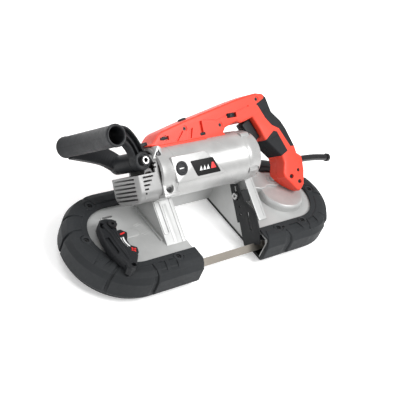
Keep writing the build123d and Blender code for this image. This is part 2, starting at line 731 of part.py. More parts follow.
VENT_LEFT = -162.0
VENT_WALL = 3.0
with BuildPart() as vent_cover:
    with BuildSketch(CROSS.offset(VENT_LEFT)):
        with Locations((MOTOR_A - 5, MOTOR_H)):
            RectangleRounded(72, 70, 20)
    extrude(amount=MOTOR_LEFT - VENT_LEFT)
    chamfer(vent_cover.edges().group_by(Axis.X)[0], 4)
    with BuildSketch(CROSS.offset(VENT_LEFT + VENT_WALL)):
        with Locations((MOTOR_A - 5, MOTOR_H)):
            RectangleRounded(72 - 2 * VENT_WALL, 70 - 2 * VENT_WALL, 17)
    extrude(amount=MOTOR_LEFT - VENT_LEFT, mode=Mode.SUBTRACT)
    # Air slots: long ones round the front, short ones in the left end.
    for row in range(8):
        slot_a = 50.5 + 6.2 * row
        slot_right = -158 + 0.68 * (slot_a - 50)
        with BuildSketch(SAW.offset(MOTOR_H + 10)):
            Polygon(
                (VENT_LEFT + 8, slot_a - 1.3), (slot_right + 6, slot_a - 1.3),
                (slot_right + 6, slot_a + 1.3), (VENT_LEFT + 8, slot_a + 1.3), align=None,
            )
        extrude(amount=40, mode=Mode.SUBTRACT)
        with BuildSketch(CROSS.offset(VENT_LEFT - 1)):
            with Locations((slot_a, MOTOR_H + 2)):
                Rectangle(2.6, 34)
        extrude(amount=8, mode=Mode.SUBTRACT)
    # The corner that the loop handle's bracket fills.
    with BuildSketch(SAW.offset(MOTOR_H - 40)):
        Polygon((-180, 86), (-125, 86), (-125, 130), (-180, 130), align=None)
    extrude(amount=80, mode=Mode.SUBTRACT)
save(vent_cover, "vent_cover")

stator = tube(-56, 84, MOTOR_IN, 24)
save(stator, "stator")

SHAFT_R = 5.0
FAN_X = 34.0
with BuildPart() as armature:
    add(tube(-116, 190, SHAFT_R, 0).part)
    add(tube(-54, 80, 23.2, 0).part)
    # The pinion cut on the end of the shaft.
    with BuildSketch(CROSS.offset(CAP_LEFT + 3)):
        with Locations((MOTOR_A, MOTOR_H)):
            Polygon(*gear_points(PINION_TEETH, 2 * PINION_R / PINION_TEETH, -90 - CUT_TILT), align=None)
    extrude(amount=DOWN_X - FACE_R + FACE_HALF - CAP_LEFT - 3)
    # The commutator, with its bars.
    with BuildSketch(CROSS.offset(-92)):
        with Locations((MOTOR_A, MOTOR_H)):
            Circle(13)
            with PolarLocations(13, 18):
                Rectangle(3, 0.8, mode=Mode.SUBTRACT)
    extrude(amount=24)
save(armature, "armature")
with BuildPart() as fan:
    with BuildSketch(CROSS.offset(FAN_X)):
        with Locations((MOTOR_A, MOTOR_H)):
            Circle(36)
            Circle(SHAFT_R, mode=Mode.SUBTRACT)
    extrude(amount=2)
    with BuildSketch(CROSS.offset(FAN_X + 2)):
        with Locations((MOTOR_A, MOTOR_H)):
            with PolarLocations(24, 13):
                Rectangle(22, 1.6)
            Circle(10)
            Circle(SHAFT_R, mode=Mode.SUBTRACT)
    extrude(amount=14)
save(fan, "fan")
with BuildPart() as motor_bearings:
    add(tube(-113, 8, 11, SHAFT_R + RUN).part)
    add(tube(CAP_LEFT - 4, 6, 11, SHAFT_R + RUN).part)
save(motor_bearings, "motor_bearings")

with BuildPart() as brush_caps:
    for out in (-1, 1):
        face = SAW.offset(MOTOR_H + out * (MOTOR_IN + 2))
        with BuildSketch(face):
            with Locations((BRUSH_X, MOTOR_A)):
                Circle(BRUSH_R)
        extrude(amount=out * 17.0)
        with BuildSketch(SAW.offset(MOTOR_H + out * (FLAT_H - MOTOR_H))):
            with Locations((BRUSH_X, MOTOR_A)):
                Circle(11)
                Rectangle(14, 2.4, mode=Mode.SUBTRACT)
        extrude(amount=out * 2.5)
save(brush_caps, "brush_caps")
with BuildPart() as carbon_brushes:
    for out in (-1, 1):
        with BuildSketch(SAW.offset(MOTOR_H + out * 13.3)):
            with Locations((BRUSH_X, MOTOR_A)):
                Rectangle(12, 7)
        extrude(amount=out * (MOTOR_IN + 2 - 13.3))
save(carbon_brushes, "carbon_brushes")

with BuildPart() as badge_plate:
    with BuildSketch(SAW.offset(FLAT_H)):
        Polygon((-61, 91.5), (-14, 91.5), (-2, 66), (-51, 66), align=None)
    extrude(amount=1.2)
    fillet(badge_plate.edges().filter_by(lambda edge: abs(edge.length - 1.2) < 0.01), 2)
save(badge_plate, "badge_plate")

# Pistol grip --------------------------------------------------------------------------------------

HANDLE_HALF = 19.0
OUTLINE = (
    (-120, 127), (-106, 131), (-100, 137), (-93, 143), (-84, 146.5), (-36, 156.5), (24, 167), (81, 177),
    (115, 181.7), (131, 182.8), (146, 180), (153, 173), (160, 147), (178, 129), (187, 114), (201, 80),
    (203, 68), (213.5, 60.5), (214, 50), (213, 35), (206.5, 10), (198, 3.4), (186, 1), (172, 3.5),
    (153, 23), (144, 31), (145, 39), (161, 55.5), (161, 66.4), (147, 83), (133.5, 100), (125, 121),
    (113, 143), (96, 139), (84, 137), (75, 141), (48, 134), (42, 127), (52, 116), (-94, 116), (-101, 124),
)
GRIP_REAR = (
    (153, 173), (160, 147), (178, 129), (187, 114), (201, 80), (189.5, 81.5), (169.6, 116), (154, 124),
    (142, 138), (129.8, 160.8), (126, 164),
)
GRIP_FRONT = ((133.5, 100), (156, 114), (163.5, 111.3), (181, 74.7), (161, 66.4), (147, 83))
TRIGGER = ((94, 134), (113, 142.6), (132, 109), (124, 103.5), (115, 104), (109, 107))
# The space that the trigger slides into, 6.5 mm along (0.87, 0.49).
TRIGGER_POCKET = ((92, 134), (100, 137.5), (121, 147.5), (141, 112), (124.5, 102), (108, 105))


def prism(plane, points, high):
    """A closed outline in a plane, raised."""
    with BuildPart() as block:
        with BuildSketch(plane):
            Polygon(*points, align=None)
        extrude(amount=high)
    return block.part


LOW_H, HIGH_H = MOTOR_H - HANDLE_HALF, MOTOR_H + HANDLE_HALF
DIAL_X, DIAL_A, DIAL_R = 66.0, 152.5, 10.0
LOCK = (120.0, 158.0)
for half, low in (("rear", LOW_H), ("front", MOTOR_H)):
    with BuildPart() as shell:
        add(prism(SAW.offset(low), OUTLINE, HANDLE_HALF))
        add(prism(SAW.offset(LOW_H - 1), GRIP_REAR, 2 * HANDLE_HALF + 2), mode=Mode.SUBTRACT)
        add(prism(SAW.offset(LOW_H - 1), GRIP_FRONT, 2 * HANDLE_HALF + 2), mode=Mode.SUBTRACT)
        add(tube(-130, 240, MOTOR_R, 0).part, mode=Mode.SUBTRACT)
        add(prism(SAW.offset(MOTOR_H - 9), TRIGGER_POCKET, 18), mode=Mode.SUBTRACT)
        # Cavities for the wiring, the switch and the cord clamp.
        for cavity in (
            ((-80, 134), (-80, 142), (96, 172), (96, 158), (40, 142)),
            ((96, 150), (96, 172), (120, 175), (122, 150)),
            ((160, 20), (160, 50), (206, 50), (203, 20)),
        ):
            add(prism(SAW.offset(MOTOR_H - 12), cavity, 24), mode=Mode.SUBTRACT)
        dial_box = ((55, 148.5), (55, 156.5), (77, 156.5), (77, 148.5))
        add(prism(SAW.offset(MOTOR_H), dial_box, 20), mode=Mode.SUBTRACT)
        with BuildSketch(upright(DIAL_X, DIAL_A - 6, HIGH_H - DIAL_R + 2)):
            Circle(2 + RUN)
        extrude(amount=12, mode=Mode.SUBTRACT)
        with BuildSketch(SAW.offset(LOW_H - 1)):
            with Locations(LOCK):
                Circle(5 + GAP)
        extrude(amount=9, mode=Mode.SUBTRACT)
        # The cord guard's mouth.
        with BuildSketch(CROSS.offset(195)):
            with Locations((54.5, MOTOR_H)):
                Circle(6)
        extrude(amount=30, mode=Mode.SUBTRACT)
        with BuildSketch(SAW.offset(HIGH_H - 4)):
            with Locations(*HANDLE_SCREWS):
                Circle(3)
        extrude(amount=5, mode=Mode.SUBTRACT)
        # The heel stands on the gear cover and the bumper's lip.
        with BuildSketch(PLATE.offset(COVER_TOP - 60)):
            with Locations((HALF, 0)):
                Rectangle(160, 200)
        extrude(amount=60, mode=Mode.SUBTRACT)
        with BuildSketch(PLATE.offset(COVER_TOP)):
            with Locations(*COVER_BOLTS):
                Circle(5)
        extrude(amount=3.5, mode=Mode.SUBTRACT)
    save(shell, f"handle_{half}")

for name, points in (("grip_rear", GRIP_REAR), ("grip_front", GRIP_FRONT)):
    with BuildPart() as grip:
        add(prism(SAW.offset(LOW_H + 0.5), points, 2 * HANDLE_HALF - 1))
        add(prism(SAW.offset(MOTOR_H - 9), TRIGGER_POCKET, 18), mode=Mode.SUBTRACT)
    save(grip, name)

with BuildPart() as trigger:
    add(prism(SAW.offset(MOTOR_H - 8.5), TRIGGER, 17))
save(trigger, "trigger")
with BuildPart() as lock_button:
    with BuildSketch(SAW.offset(LOW_H - 3)):
        with Locations(LOCK):
            Circle(5)
    extrude(amount=7)
    chamfer(lock_button.edges().filter_by(GeomType.CIRCLE).sort_by(Axis(SAW.origin, tuple(OUT)))[0], 1)
save(lock_button, "lock_button")
with BuildPart() as switch_body:
    add(prism(SAW.offset(MOTOR_H - 11), ((99, 153), (99, 170), (117, 172), (119, 153)), 22))
save(switch_body, "switch_body")
with BuildPart() as speed_dial:
    with BuildSketch(upright(DIAL_X, DIAL_A - 3, HIGH_H - DIAL_R + 2)):
        Circle(DIAL_R)
        with PolarLocations(DIAL_R, 24):
            Rectangle(1.2, 1.2, mode=Mode.SUBTRACT)
    extrude(amount=6)
    with BuildSketch(upright(DIAL_X, DIAL_A - 5.5, HIGH_H - DIAL_R + 2)):
        Circle(2)
    extrude(amount=11)
save(speed_dial, "speed_dial")

# Cord sleeve, the lead inside it, and the clamp in the heel ------------------------------------------

GUARD_X, GUARD_A = 199.0, 54.5
GUARD_STRAIGHT, GUARD_BEND_R, GUARD_BEND = 17.0, 400.0, 12.0


def along_cord(outer, inner):
    """A round bar or tube that runs straight out of the heel and then droops a little."""
    with BuildPart() as bar:
        with BuildSketch(CROSS.offset(GUARD_X)):
            with Locations((GUARD_A, MOTOR_H)):
                Circle(outer)
                if inner:
                    Circle(inner, mode=Mode.SUBTRACT)
        extrude(amount=GUARD_STRAIGHT)
        with BuildSketch(CROSS.offset(GUARD_X + GUARD_STRAIGHT)) as mouth:
            with Locations((GUARD_A, MOTOR_H)):
                Circle(outer)
                if inner:
                    Circle(inner, mode=Mode.SUBTRACT)
        centre = saw_point(GUARD_X + GUARD_STRAIGHT, GUARD_A - GUARD_BEND_R, MOTOR_H)
        revolve(mouth.sketch, axis=Axis(tuple(centre), tuple(OUT)), revolution_arc=-GUARD_BEND)
    return bar


bend = radians(GUARD_BEND)
guard_end = (GUARD_X + GUARD_STRAIGHT + GUARD_BEND_R * sin(bend), GUARD_A - GUARD_BEND_R * (1 - cos(bend)))
with BuildPart() as cord_guard:
    add(along_cord(6, 3.6).part)
    # A thicker collar at the free end.
    collar_along = Vector(cos(bend), 0, 0) - UP * sin(bend)
    with BuildSketch(Plane(saw_point(*guard_end, MOTOR_H), x_dir=OUT, z_dir=collar_along)):
        Circle(7.5)
        Circle(5.9, mode=Mode.SUBTRACT)
    extrude(amount=-5)
save(cord_guard, "cord_guard")
lead = along_cord(3.6, 0)
save(lead, "lead")
with BuildPart() as cord_clamp:
    with BuildSketch(CROSS.offset(186)):
        with Locations((45, MOTOR_H)):
            Rectangle(8, 22)
    extrude(amount=10)
save(cord_clamp, "cord_clamp")

# Loop handle ----------------------------------------------------------------------------------------

TUBE_X, TUBE_A, TUBE_R, TUBE_BORE = -208.0, 150.0, 16.5, 13.0
TUBE_HALF = 72.0
PIVOT = (-145.0, 107.0)
HUB = 15.0
HUB_HALF = 20.0
ARM_WIDE = 17.0

with BuildPart() as front_handle:
    with BuildSketch(SAW.offset(MOTOR_H - TUBE_HALF)):
        with Locations((TUBE_X, TUBE_A)):
            Circle(TUBE_R)
    extrude(amount=2 * TUBE_HALF)
    for side in (-1, 1):
        sections = []
        for x, a, h, wide, tall, lean in (
            (-147, 108, HUB_HALF + 9, 15, 26, 115), (-162, 134, 38, 17, 22, 128),
            (-183, 150, 52, 18, 26, 160), (TUBE_X + 4, TUBE_A, 60, 19, 30, 175),
        ):
            along = Vector(1, 0, 0) * cos(radians(lean)) + UP * sin(radians(lean))
            place = Plane(saw_point(x, a, MOTOR_H + side * h), x_dir=OUT, z_dir=along)
            with BuildSketch(place) as section:
                RectangleRounded(wide, tall, 4)
            sections.append(section.sketch.face())
        loft(sections, ruled=True)
        with BuildSketch(SAW.offset(MOTOR_H + side * (HUB_HALF + 0.4))):
            with Locations(PIVOT):
                Circle(HUB)
        extrude(amount=side * ARM_WIDE)
    with BuildSketch(SAW.offset(MOTOR_H - HUB_HALF - 0.4)):
        with Locations(PIVOT):
            Circle(HUB + 30)
    extrude(amount=2 * HUB_HALF + 0.8, mode=Mode.SUBTRACT)
    with BuildSketch(SAW.offset(MOTOR_H - TUBE_HALF)):
        with Locations((TUBE_X, TUBE_A)):
            Circle(TUBE_BORE)
        with Locations(PIVOT):
            Circle(4 + RUN)
    extrude(amount=2 * TUBE_HALF, mode=Mode.SUBTRACT)
save(front_handle, "front_handle")

with BuildPart() as handle_bracket:
    with BuildSketch(SAW.offset(MOTOR_H - HUB_HALF)):
        with Locations(PIVOT):
            Circle(HUB)
        Polygon((-163, 86), (-125.3, 86), (-125.3, 116), (-136, 119), (-158, 112), align=None)
    extrude(amount=2 * HUB_HALF)
    with BuildSketch(SAW.offset(MOTOR_H - HUB_HALF)):
        with Locations(PIVOT):
            Circle(4)
    extrude(amount=2 * HUB_HALF, mode=Mode.SUBTRACT)
save(handle_bracket, "handle_bracket")

with BuildPart() as pivot_bolt:
    with BuildSketch(SAW.offset(MOTOR_H - HUB_HALF - ARM_WIDE - 1.4)):
        with Locations(PIVOT):
            Circle(4)
    extrude(amount=2 * (HUB_HALF + ARM_WIDE + 1.4))
    for side in (-1, 1):
        with BuildSketch(SAW.offset(MOTOR_H + side * (HUB_HALF + ARM_WIDE + 1.4))):
            with Locations(PIVOT):
                Circle(7)
                RegularPolygon(3.4, 6, mode=Mode.SUBTRACT)
        extrude(amount=side * 5)
save(pivot_bolt, "pivot_bolt")

# Screws that hold the bumpers, the gear cover and the handle's halves together.
with BuildPart() as case_screws:
    for place in BUMPER_SCREWS:
        with BuildSketch(PLATE.offset(0)):
            with Locations(place):
                Circle(3.6)
                RegularPolygon(2, 6, mode=Mode.SUBTRACT)
        extrude(amount=3)
    for place in COVER_BOLTS:
        with BuildSketch(PLATE.offset(COVER_TOP)):
            with Locations(place):
                Circle(4)
                RegularPolygon(2, 6, mode=Mode.SUBTRACT)
        extrude(amount=3)
    for place in HANDLE_SCREWS:
        with BuildSketch(SAW.offset(HIGH_H - 4)):
            with Locations(place):
                Circle(2.9)
                RegularPolygon(1.5, 6, mode=Mode.SUBTRACT)
        extrude(amount=2.5)
save(case_screws, "case_screws")

low = [min(box[0][axis] for box in LIMITS) for axis in range(3)]
high = [max(box[1][axis] for box in LIMITS) for axis in range(3)]
print("box", [round(v, 1) for v in low], [round(v, 1) for v in high])
print("lay shaft", round(LAY_X, 2), round(LAY_Y, 2), "pieces", len(LIMITS))
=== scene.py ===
# %% [markdown]
# # A portable band saw in Blender
# The CAD frame gives every moving part its place and size. This lesson dresses that frame: it
# lights it, gives each material its surface, and rebuilds the moulded and cast pieces with the
# rounded edges, ribs and recesses that the real ones have.

# %% Load the frame
from math import atan, cos, pi, radians, sin

import bmesh
import bpy
from mathutils import Matrix, Vector


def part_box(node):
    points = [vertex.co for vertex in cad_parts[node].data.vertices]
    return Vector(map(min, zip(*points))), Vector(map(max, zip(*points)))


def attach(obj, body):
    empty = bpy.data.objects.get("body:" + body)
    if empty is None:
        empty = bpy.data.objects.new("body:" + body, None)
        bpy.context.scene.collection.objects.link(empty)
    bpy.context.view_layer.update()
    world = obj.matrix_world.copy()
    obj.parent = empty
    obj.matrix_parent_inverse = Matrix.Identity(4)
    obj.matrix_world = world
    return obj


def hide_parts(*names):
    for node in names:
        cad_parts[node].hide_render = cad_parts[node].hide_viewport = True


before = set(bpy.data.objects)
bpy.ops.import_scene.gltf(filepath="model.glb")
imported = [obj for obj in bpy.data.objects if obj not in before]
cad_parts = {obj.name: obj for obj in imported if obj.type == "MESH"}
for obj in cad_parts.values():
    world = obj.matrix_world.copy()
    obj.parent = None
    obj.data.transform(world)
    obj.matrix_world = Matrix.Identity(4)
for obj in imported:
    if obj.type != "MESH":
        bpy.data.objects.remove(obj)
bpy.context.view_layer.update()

# %% [markdown]
# ## Directions and places
# The two wheels tell where everything is: the middle between them is the frame's reference, and
# half their distance is the driving length. The saw cuts in a plane that is turned from the
# wheels' plane, so pieces are drawn flat in one of a few planes and then set in place by a matrix.
# Lengths are in millimetres in the drawing planes, and the matrix brings them to metres.

# %% Drawing planes
MM = 0.001
WHEEL_DEPTH = 28.0
CUT_TILT = radians(43)


def middle(node):
    low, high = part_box(node)
    return (Vector(low) + Vector(high)) / 2


DRIVE, IDLER = middle("drive_tyre"), middle("idler_tyre")
HALF = (DRIVE.x - IDLER.x) / 2 / MM
ORIGIN = (DRIVE + IDLER) / 2 + Vector((0, 0, WHEEL_DEPTH * MM))
ALONG = Vector((1, 0, 0))
ACROSS = Vector((0, 1, 0))
ABOVE = Vector((0, 0, 1))
UP = Vector((0, cos(CUT_TILT), sin(CUT_TILT)))
OUT = Vector((0, -sin(CUT_TILT), cos(CUT_TILT)))


def drawing_plane(right, up, out, origin=ORIGIN):
    """The matrix that carries millimetres drawn in a plane to metres in the frame."""
    turned = Matrix((right, up, out)).transposed().to_4x4()
    return Matrix.Translation(origin) @ turned @ Matrix.Scale(MM, 4)


PLATE = drawing_plane(ALONG, ACROSS, ABOVE)
SAW = drawing_plane(ALONG, UP, OUT)
CROSS = drawing_plane(UP, OUT, ALONG)
print("half the wheel spacing", round(HALF, 2), "mm")

# %% [markdown]
# ## Camera, floor and light
# A long lens from above the loop handle's end keeps the saw's lines nearly parallel. The camera is
# aimed by its azimuth and elevation, then rolled, because the saw is shown at a slant.

# %% Camera
AZIMUTH, ELEVATION, ROLL = radians(-52.6), radians(37.2), radians(24.5)
DISTANCE = 1.49836
AIM_LEFT, AIM_UP = 0.0117, 0.02215
back = Vector((sin(AZIMUTH) * cos(ELEVATION), -cos(AZIMUTH) * cos(ELEVATION), sin(ELEVATION)))
level = Vector((cos(AZIMUTH), sin(AZIMUTH), 0))
upright = back.cross(level)
right = cos(ROLL) * level + sin(ROLL) * upright
top = cos(ROLL) * upright - sin(ROLL) * level
lens = bpy.data.cameras.new("long_lens")
lens.lens, lens.sensor_width = 81, 36
lens.clip_end = 20
camera = bpy.data.objects.new("camera", lens)
bpy.context.collection.objects.link(camera)
place = Matrix((right, top, back)).transposed().to_4x4()
place.translation = ORIGIN - AIM_LEFT * right + AIM_UP * top + DISTANCE * back
camera.matrix_world = place
bpy.context.scene.camera = camera

# %% Floor and lights
bpy.context.scene.view_settings.view_transform = "Standard"


def plain_material(name, color, roughness):
    made = bpy.data.materials.new(name)
    made.use_nodes = True
    shader = made.node_tree.nodes["Principled BSDF"]
    shader.inputs["Base Color"].default_value = (*color, 1)
    shader.inputs["Roughness"].default_value = roughness
    return made


bm = bmesh.new()
bmesh.ops.create_grid(bm, x_segments=1, y_segments=1, size=6)
floor_mesh = bpy.data.meshes.new("floor")
bm.to_mesh(floor_mesh)
bm.free()
pale = plain_material("pale_floor", (0.93, 0.93, 0.93), 0.9)
pale.node_tree.nodes["Principled BSDF"].inputs["Emission Color"].default_value = (1, 1, 1, 1)
pale.node_tree.nodes["Principled BSDF"].inputs["Emission Strength"].default_value = 0.3
floor_mesh.materials.append(pale)
floor = bpy.data.objects.new("floor", floor_mesh)
bpy.context.collection.objects.link(floor)
floor.location.z = -0.0006


def soft_light(name, aim, offset, size, power):
    light = bpy.data.lights.new(name, "AREA")
    light.shape, light.size, light.energy = "DISK", size, power
    lamp = bpy.data.objects.new(name, light)
    bpy.context.collection.objects.link(lamp)
    lamp.location = aim + offset
    lamp.rotation_euler = (-offset).to_track_quat("-Z", "Y").to_euler()


soft_light("key_light", ORIGIN, Vector((0.6, -1.1, 1.7)), 1.2, 42)
soft_light("top_light", ORIGIN, Vector((-0.2, 1.3, 1.6)), 1.2, 16)
soft_light("left_light", ORIGIN, Vector((-1.7, -0.3, 0.8)), 0.8, 5)
# The background shows white to the camera, but lights the saw less, so that its shades stay apart.
world = bpy.data.worlds.new("studio")
world.use_nodes = True
nodes, links = world.node_tree.nodes, world.node_tree.links
seen = nodes.new("ShaderNodeLightPath")
strength = nodes.new("ShaderNodeMapRange")
strength.inputs["To Min"].default_value, strength.inputs["To Max"].default_value = 0.5, 1.0
links.new(seen.outputs["Is Camera Ray"], strength.inputs["Value"])
links.new(strength.outputs["Result"], nodes["Background"].inputs["Strength"])
nodes["Background"].inputs["Color"].default_value = (1, 1, 1, 1)
bpy.context.scene.world = world

# %% [markdown]
# ## Surface effects as node groups
# Moulded rubber, glass-filled nylon and painted castings all have a fine grain, and all wear at
# their edges. Each effect is one node group with its own sizes, so that every material can use it.

# %% Group maker
SOCKETS = {"float": "NodeSocketFloat", "color": "NodeSocketColor", "vector": "NodeSocketVector"}


def effect(name, inputs, outputs):
    """An empty node group with named sockets, and its input and output nodes."""
    group = bpy.data.node_groups.new(name, "ShaderNodeTree")
    for label, kind, value in inputs:
        socket = group.interface.new_socket(label, in_out="INPUT", socket_type=SOCKETS[kind])
        socket.default_value = value
    for label, kind in outputs:
        group.interface.new_socket(label, in_out="OUTPUT", socket_type=SOCKETS[kind])
    return group, group.nodes.new("NodeGroupInput"), group.nodes.new("NodeGroupOutput")


def noise(group, coordinates, scale, detail):
    node = group.nodes.new("ShaderNodeTexNoise")
    node.inputs["Detail"].default_value = detail
    group.links.new(coordinates, node.inputs["Vector"])
    if isinstance(scale, (int, float)):
        node.inputs["Scale"].default_value = scale
    else:
        group.links.new(scale, node.inputs["Scale"])
    return node.outputs["Fac"]


def sums(group, operation, *values):
    """A Math node of that operation, fed by sockets or plain numbers."""
    node = group.nodes.new("ShaderNodeMath")
    node.operation = operation
    for socket, value in zip(node.inputs, values):
        if isinstance(value, (int, float)):
            socket.default_value = value
        else:
            group.links.new(value, socket)
    return node.outputs[0]


def span(group, value, low, high, to_low=0.0, to_high=1.0):
    """The value's stretch from low to high, mapped and clamped."""
    node = group.nodes.new("ShaderNodeMapRange")
    group.links.new(value, node.inputs["Value"])
    for label, number in (("From Min", low), ("From Max", high), ("To Min", to_low), ("To Max", to_high)):
        node.inputs[label].default_value = number
    return node.outputs["Result"]


# %% Moulded grain, worn edges, brushed lines and cloudy shade
def object_coordinates(tree):
    return tree.nodes.new("ShaderNodeTexCoord").outputs["Object"]


grain, given, result = effect("moulded_grain", [("Scale", "float", 900.0), ("Coarse", "float", 0.25)],
                              [("Height", "float"), ("Shade", "float")])
where = object_coordinates(grain)
fine = noise(grain, where, given.outputs["Scale"], 2)
coarse = noise(grain, where, sums(grain, "MULTIPLY", given.outputs["Scale"], 0.22), 3)
mixed = sums(grain, "ADD", fine, sums(grain, "MULTIPLY", coarse, given.outputs["Coarse"]))
grain.links.new(mixed, result.inputs["Height"])
grain.links.new(span(grain, coarse, 0.3, 0.7), result.inputs["Shade"])

wear, given, result = effect("worn_edges", [("Width", "float", 0.0012), ("Patch", "float", 60.0)],
                             [("Mask", "float")])
geometry = wear.nodes.new("ShaderNodeNewGeometry")
softened = wear.nodes.new("ShaderNodeBevel")
softened.samples = 3
wear.links.new(given.outputs["Width"], softened.inputs["Radius"])
facing = wear.nodes.new("ShaderNodeVectorMath")
facing.operation = "DOT_PRODUCT"
wear.links.new(softened.outputs["Normal"], facing.inputs[0])
wear.links.new(geometry.outputs["Normal"], facing.inputs[1])
edge = span(wear, facing.outputs["Value"], 0.99, 0.86)
patches = span(wear, noise(wear, object_coordinates(wear), given.outputs["Patch"], 4), 0.42, 0.62)
wear.links.new(sums(wear, "MULTIPLY", edge, patches), result.inputs["Mask"])

brushed, given, result = effect("brushed_lines", [("Scale", "float", 60.0), ("Stretch", "vector", (1, 1, 1))],
                                [("Height", "float"), ("Shade", "float")])
stretched = brushed.nodes.new("ShaderNodeVectorMath")
stretched.operation = "MULTIPLY"
brushed.links.new(object_coordinates(brushed), stretched.inputs[0])
brushed.links.new(given.outputs["Stretch"], stretched.inputs[1])
lines = noise(brushed, stretched.outputs["Vector"], given.outputs["Scale"], 6)
brushed.links.new(lines, result.inputs["Height"])
brushed.links.new(span(brushed, lines, 0.3, 0.7), result.inputs["Shade"])

clouds, given, result = effect("cloudy_shade", [("Scale", "float", 14.0)], [("Shade", "float")])
cloud = noise(clouds, object_coordinates(clouds), given.outputs["Scale"], 5)
clouds.links.new(span(clouds, cloud, 0.35, 0.65), result.inputs["Shade"])
print("effects", [group.name for group in bpy.data.node_groups])


# %% Finish maker
def finish(name, color, worn, roughness, metallic=0.0, grain_scale=900.0, bump=0.15, edge_width=0.0012,
           edge_share=0.5, drift=0.12, coat=0.0, lines=None, specular=0.5):
    """A material whose colour drifts a little, is worn at its edges, and has grain or brushed lines."""
    made = bpy.data.materials.new(name)
    made.use_nodes = True
    tree = made.node_tree
    shader = tree.nodes["Principled BSDF"]
    shader.inputs["Metallic"].default_value = metallic
    shader.inputs["Coat Weight"].default_value = coat
    shader.inputs["Coat Roughness"].default_value = 0.25
    shader.inputs["Specular IOR Level"].default_value = specular

    def use(group):
        node = tree.nodes.new("ShaderNodeGroup")
        node.node_tree = group
        return node

    def blend(factor, first, second):
        node = tree.nodes.new("ShaderNodeMix")
        node.data_type = "RGBA"
        tree.links.new(factor, node.inputs["Factor"])
        for socket, value in ((node.inputs[6], first), (node.inputs[7], second)):
            if isinstance(value, tuple):
                socket.default_value = (*value, 1)
            else:
                tree.links.new(value, socket)
        return node.outputs[2]

    shade = use(clouds)
    darker = tuple(channel * (1 - drift) for channel in color)
    lighter = tuple(min(1, channel * (1 + drift)) for channel in color)
    base = blend(shade.outputs["Shade"], darker, lighter)
    if lines:
        surface = use(brushed)
        surface.inputs["Stretch"].default_value = lines
        base = blend(span(tree, surface.outputs["Shade"], 0, 1, 0, 0.35), base, tuple(c * 0.6 for c in color))
    else:
        surface = use(grain)
        surface.inputs["Scale"].default_value = grain_scale
    rims = use(wear)
    rims.inputs["Width"].default_value = edge_width
    rubbed = span(tree, rims.outputs["Mask"], 0, 1, 0, edge_share)
    tree.links.new(blend(rubbed, base, worn), shader.inputs["Base Color"])
    rough = sums(tree, "ADD", span(tree, surface.outputs["Shade"], 0, 1, roughness - 0.05, roughness + 0.06),
                 sums(tree, "MULTIPLY", rubbed, -0.1))
    tree.links.new(rough, shader.inputs["Roughness"])
    relief = tree.nodes.new("ShaderNodeBump")
    relief.inputs["Strength"].default_value = bump
    relief.inputs["Distance"].default_value = 0.0002
    tree.links.new(surface.outputs["Height"], relief.inputs["Height"])
    tree.links.new(relief.outputs["Normal"], shader.inputs["Normal"])
    return made


# %% The saw's finishes
SILVER = finish("silver_casting", (0.46, 0.465, 0.46), (0.66, 0.66, 0.65), 0.42, 0.3, 1400, 0.22)
MOTOR_SILVER = finish("silver_motor", (0.44, 0.44, 0.435), (0.66, 0.66, 0.65), 0.34, 0.35, 1400, 0.15)
# The vent cover is the same silver casting as the motor; its darker grey is painted shade, for its face
# turned away from the key light.
PAINTED_SHADE_VENT_SILVER = finish("silver_vent_painted_shade", (0.27, 0.27, 0.268), (0.5, 0.5, 0.49), 0.4, 0.3, 1400, 0.15)
MACHINED = finish("machined_alloy", (0.62, 0.62, 0.61), (0.8, 0.8, 0.8), 0.3, 0.9, bump=0.1, lines=(1, 1, 14))
RUBBER = finish("bumper_rubber", (0.021, 0.023, 0.025), (0.055, 0.058, 0.062), 0.62, 0, 700, 0.5, 0.002, 0.5,
                specular=0.22)
GUARD = finish("guard_plastic", (0.016, 0.017, 0.018), (0.05, 0.05, 0.055), 0.55, 0, 900, 0.3, specular=0.22)
RED = finish("red_nylon", (0.8, 0.05, 0.022), (1.0, 0.2, 0.13), 0.42, 0, 1500, 0.22, 0.0012, 0.4, 0.06)
GRIP = finish("grip_rubber", (0.014, 0.015, 0.017), (0.045, 0.045, 0.05), 0.6, 0, 600, 0.6, 0.0015, 0.4,
              specular=0.22)
BLACK = finish("black_nylon", (0.015, 0.016, 0.018), (0.05, 0.053, 0.057), 0.45, 0, 1100, 0.28, 0.0015, 0.45,
               specular=0.22)
SLEEVE = finish("sleeve_rubber", (0.01, 0.01, 0.011), (0.04, 0.04, 0.04), 0.24, 0, 600, 0.3)
BAND = finish("blade_band", (0.30, 0.275, 0.24), (0.55, 0.52, 0.48), 0.38, 0.8, bump=0.1, lines=(2, 40, 40))
STEEL = finish("turned_steel", (0.45, 0.45, 0.45), (0.7, 0.7, 0.7), 0.3, 0.95, bump=0.1, lines=(8, 8, 8))
DARK_STEEL = finish("black_screws", (0.03, 0.03, 0.032), (0.2, 0.2, 0.2), 0.35, 0.4, 1800, 0.1)
TYRE = finish("wheel_tyre", (0.02, 0.02, 0.02), (0.05, 0.05, 0.05), 0.7, 0, 500, 0.4)
IRON = finish("laminations", (0.14, 0.12, 0.11), (0.3, 0.28, 0.26), 0.5, 0.6, bump=0.3, lines=(90, 1, 1))
CARBON = finish("carbon", (0.03, 0.03, 0.03), (0.08, 0.08, 0.08), 0.6)
STOP = finish("stop_coating", (0.018, 0.019, 0.02), (0.08, 0.08, 0.08), 0.48, 0.1, 1300, 0.3, specular=0.22)
BADGE = finish("badge_lacquer", (0.006, 0.006, 0.006), (0.05, 0.05, 0.05), 0.45, 0, 2000, 0.03, specular=0.15)
WHITE = finish("white_print", (0.82, 0.82, 0.82), (0.85, 0.85, 0.85), 0.5, 0, 2000, 0.05)
RED_PRINT = finish("red_print", (0.8, 0.02, 0.02), (0.85, 0.1, 0.08), 0.45, 0, 2000, 0.05)

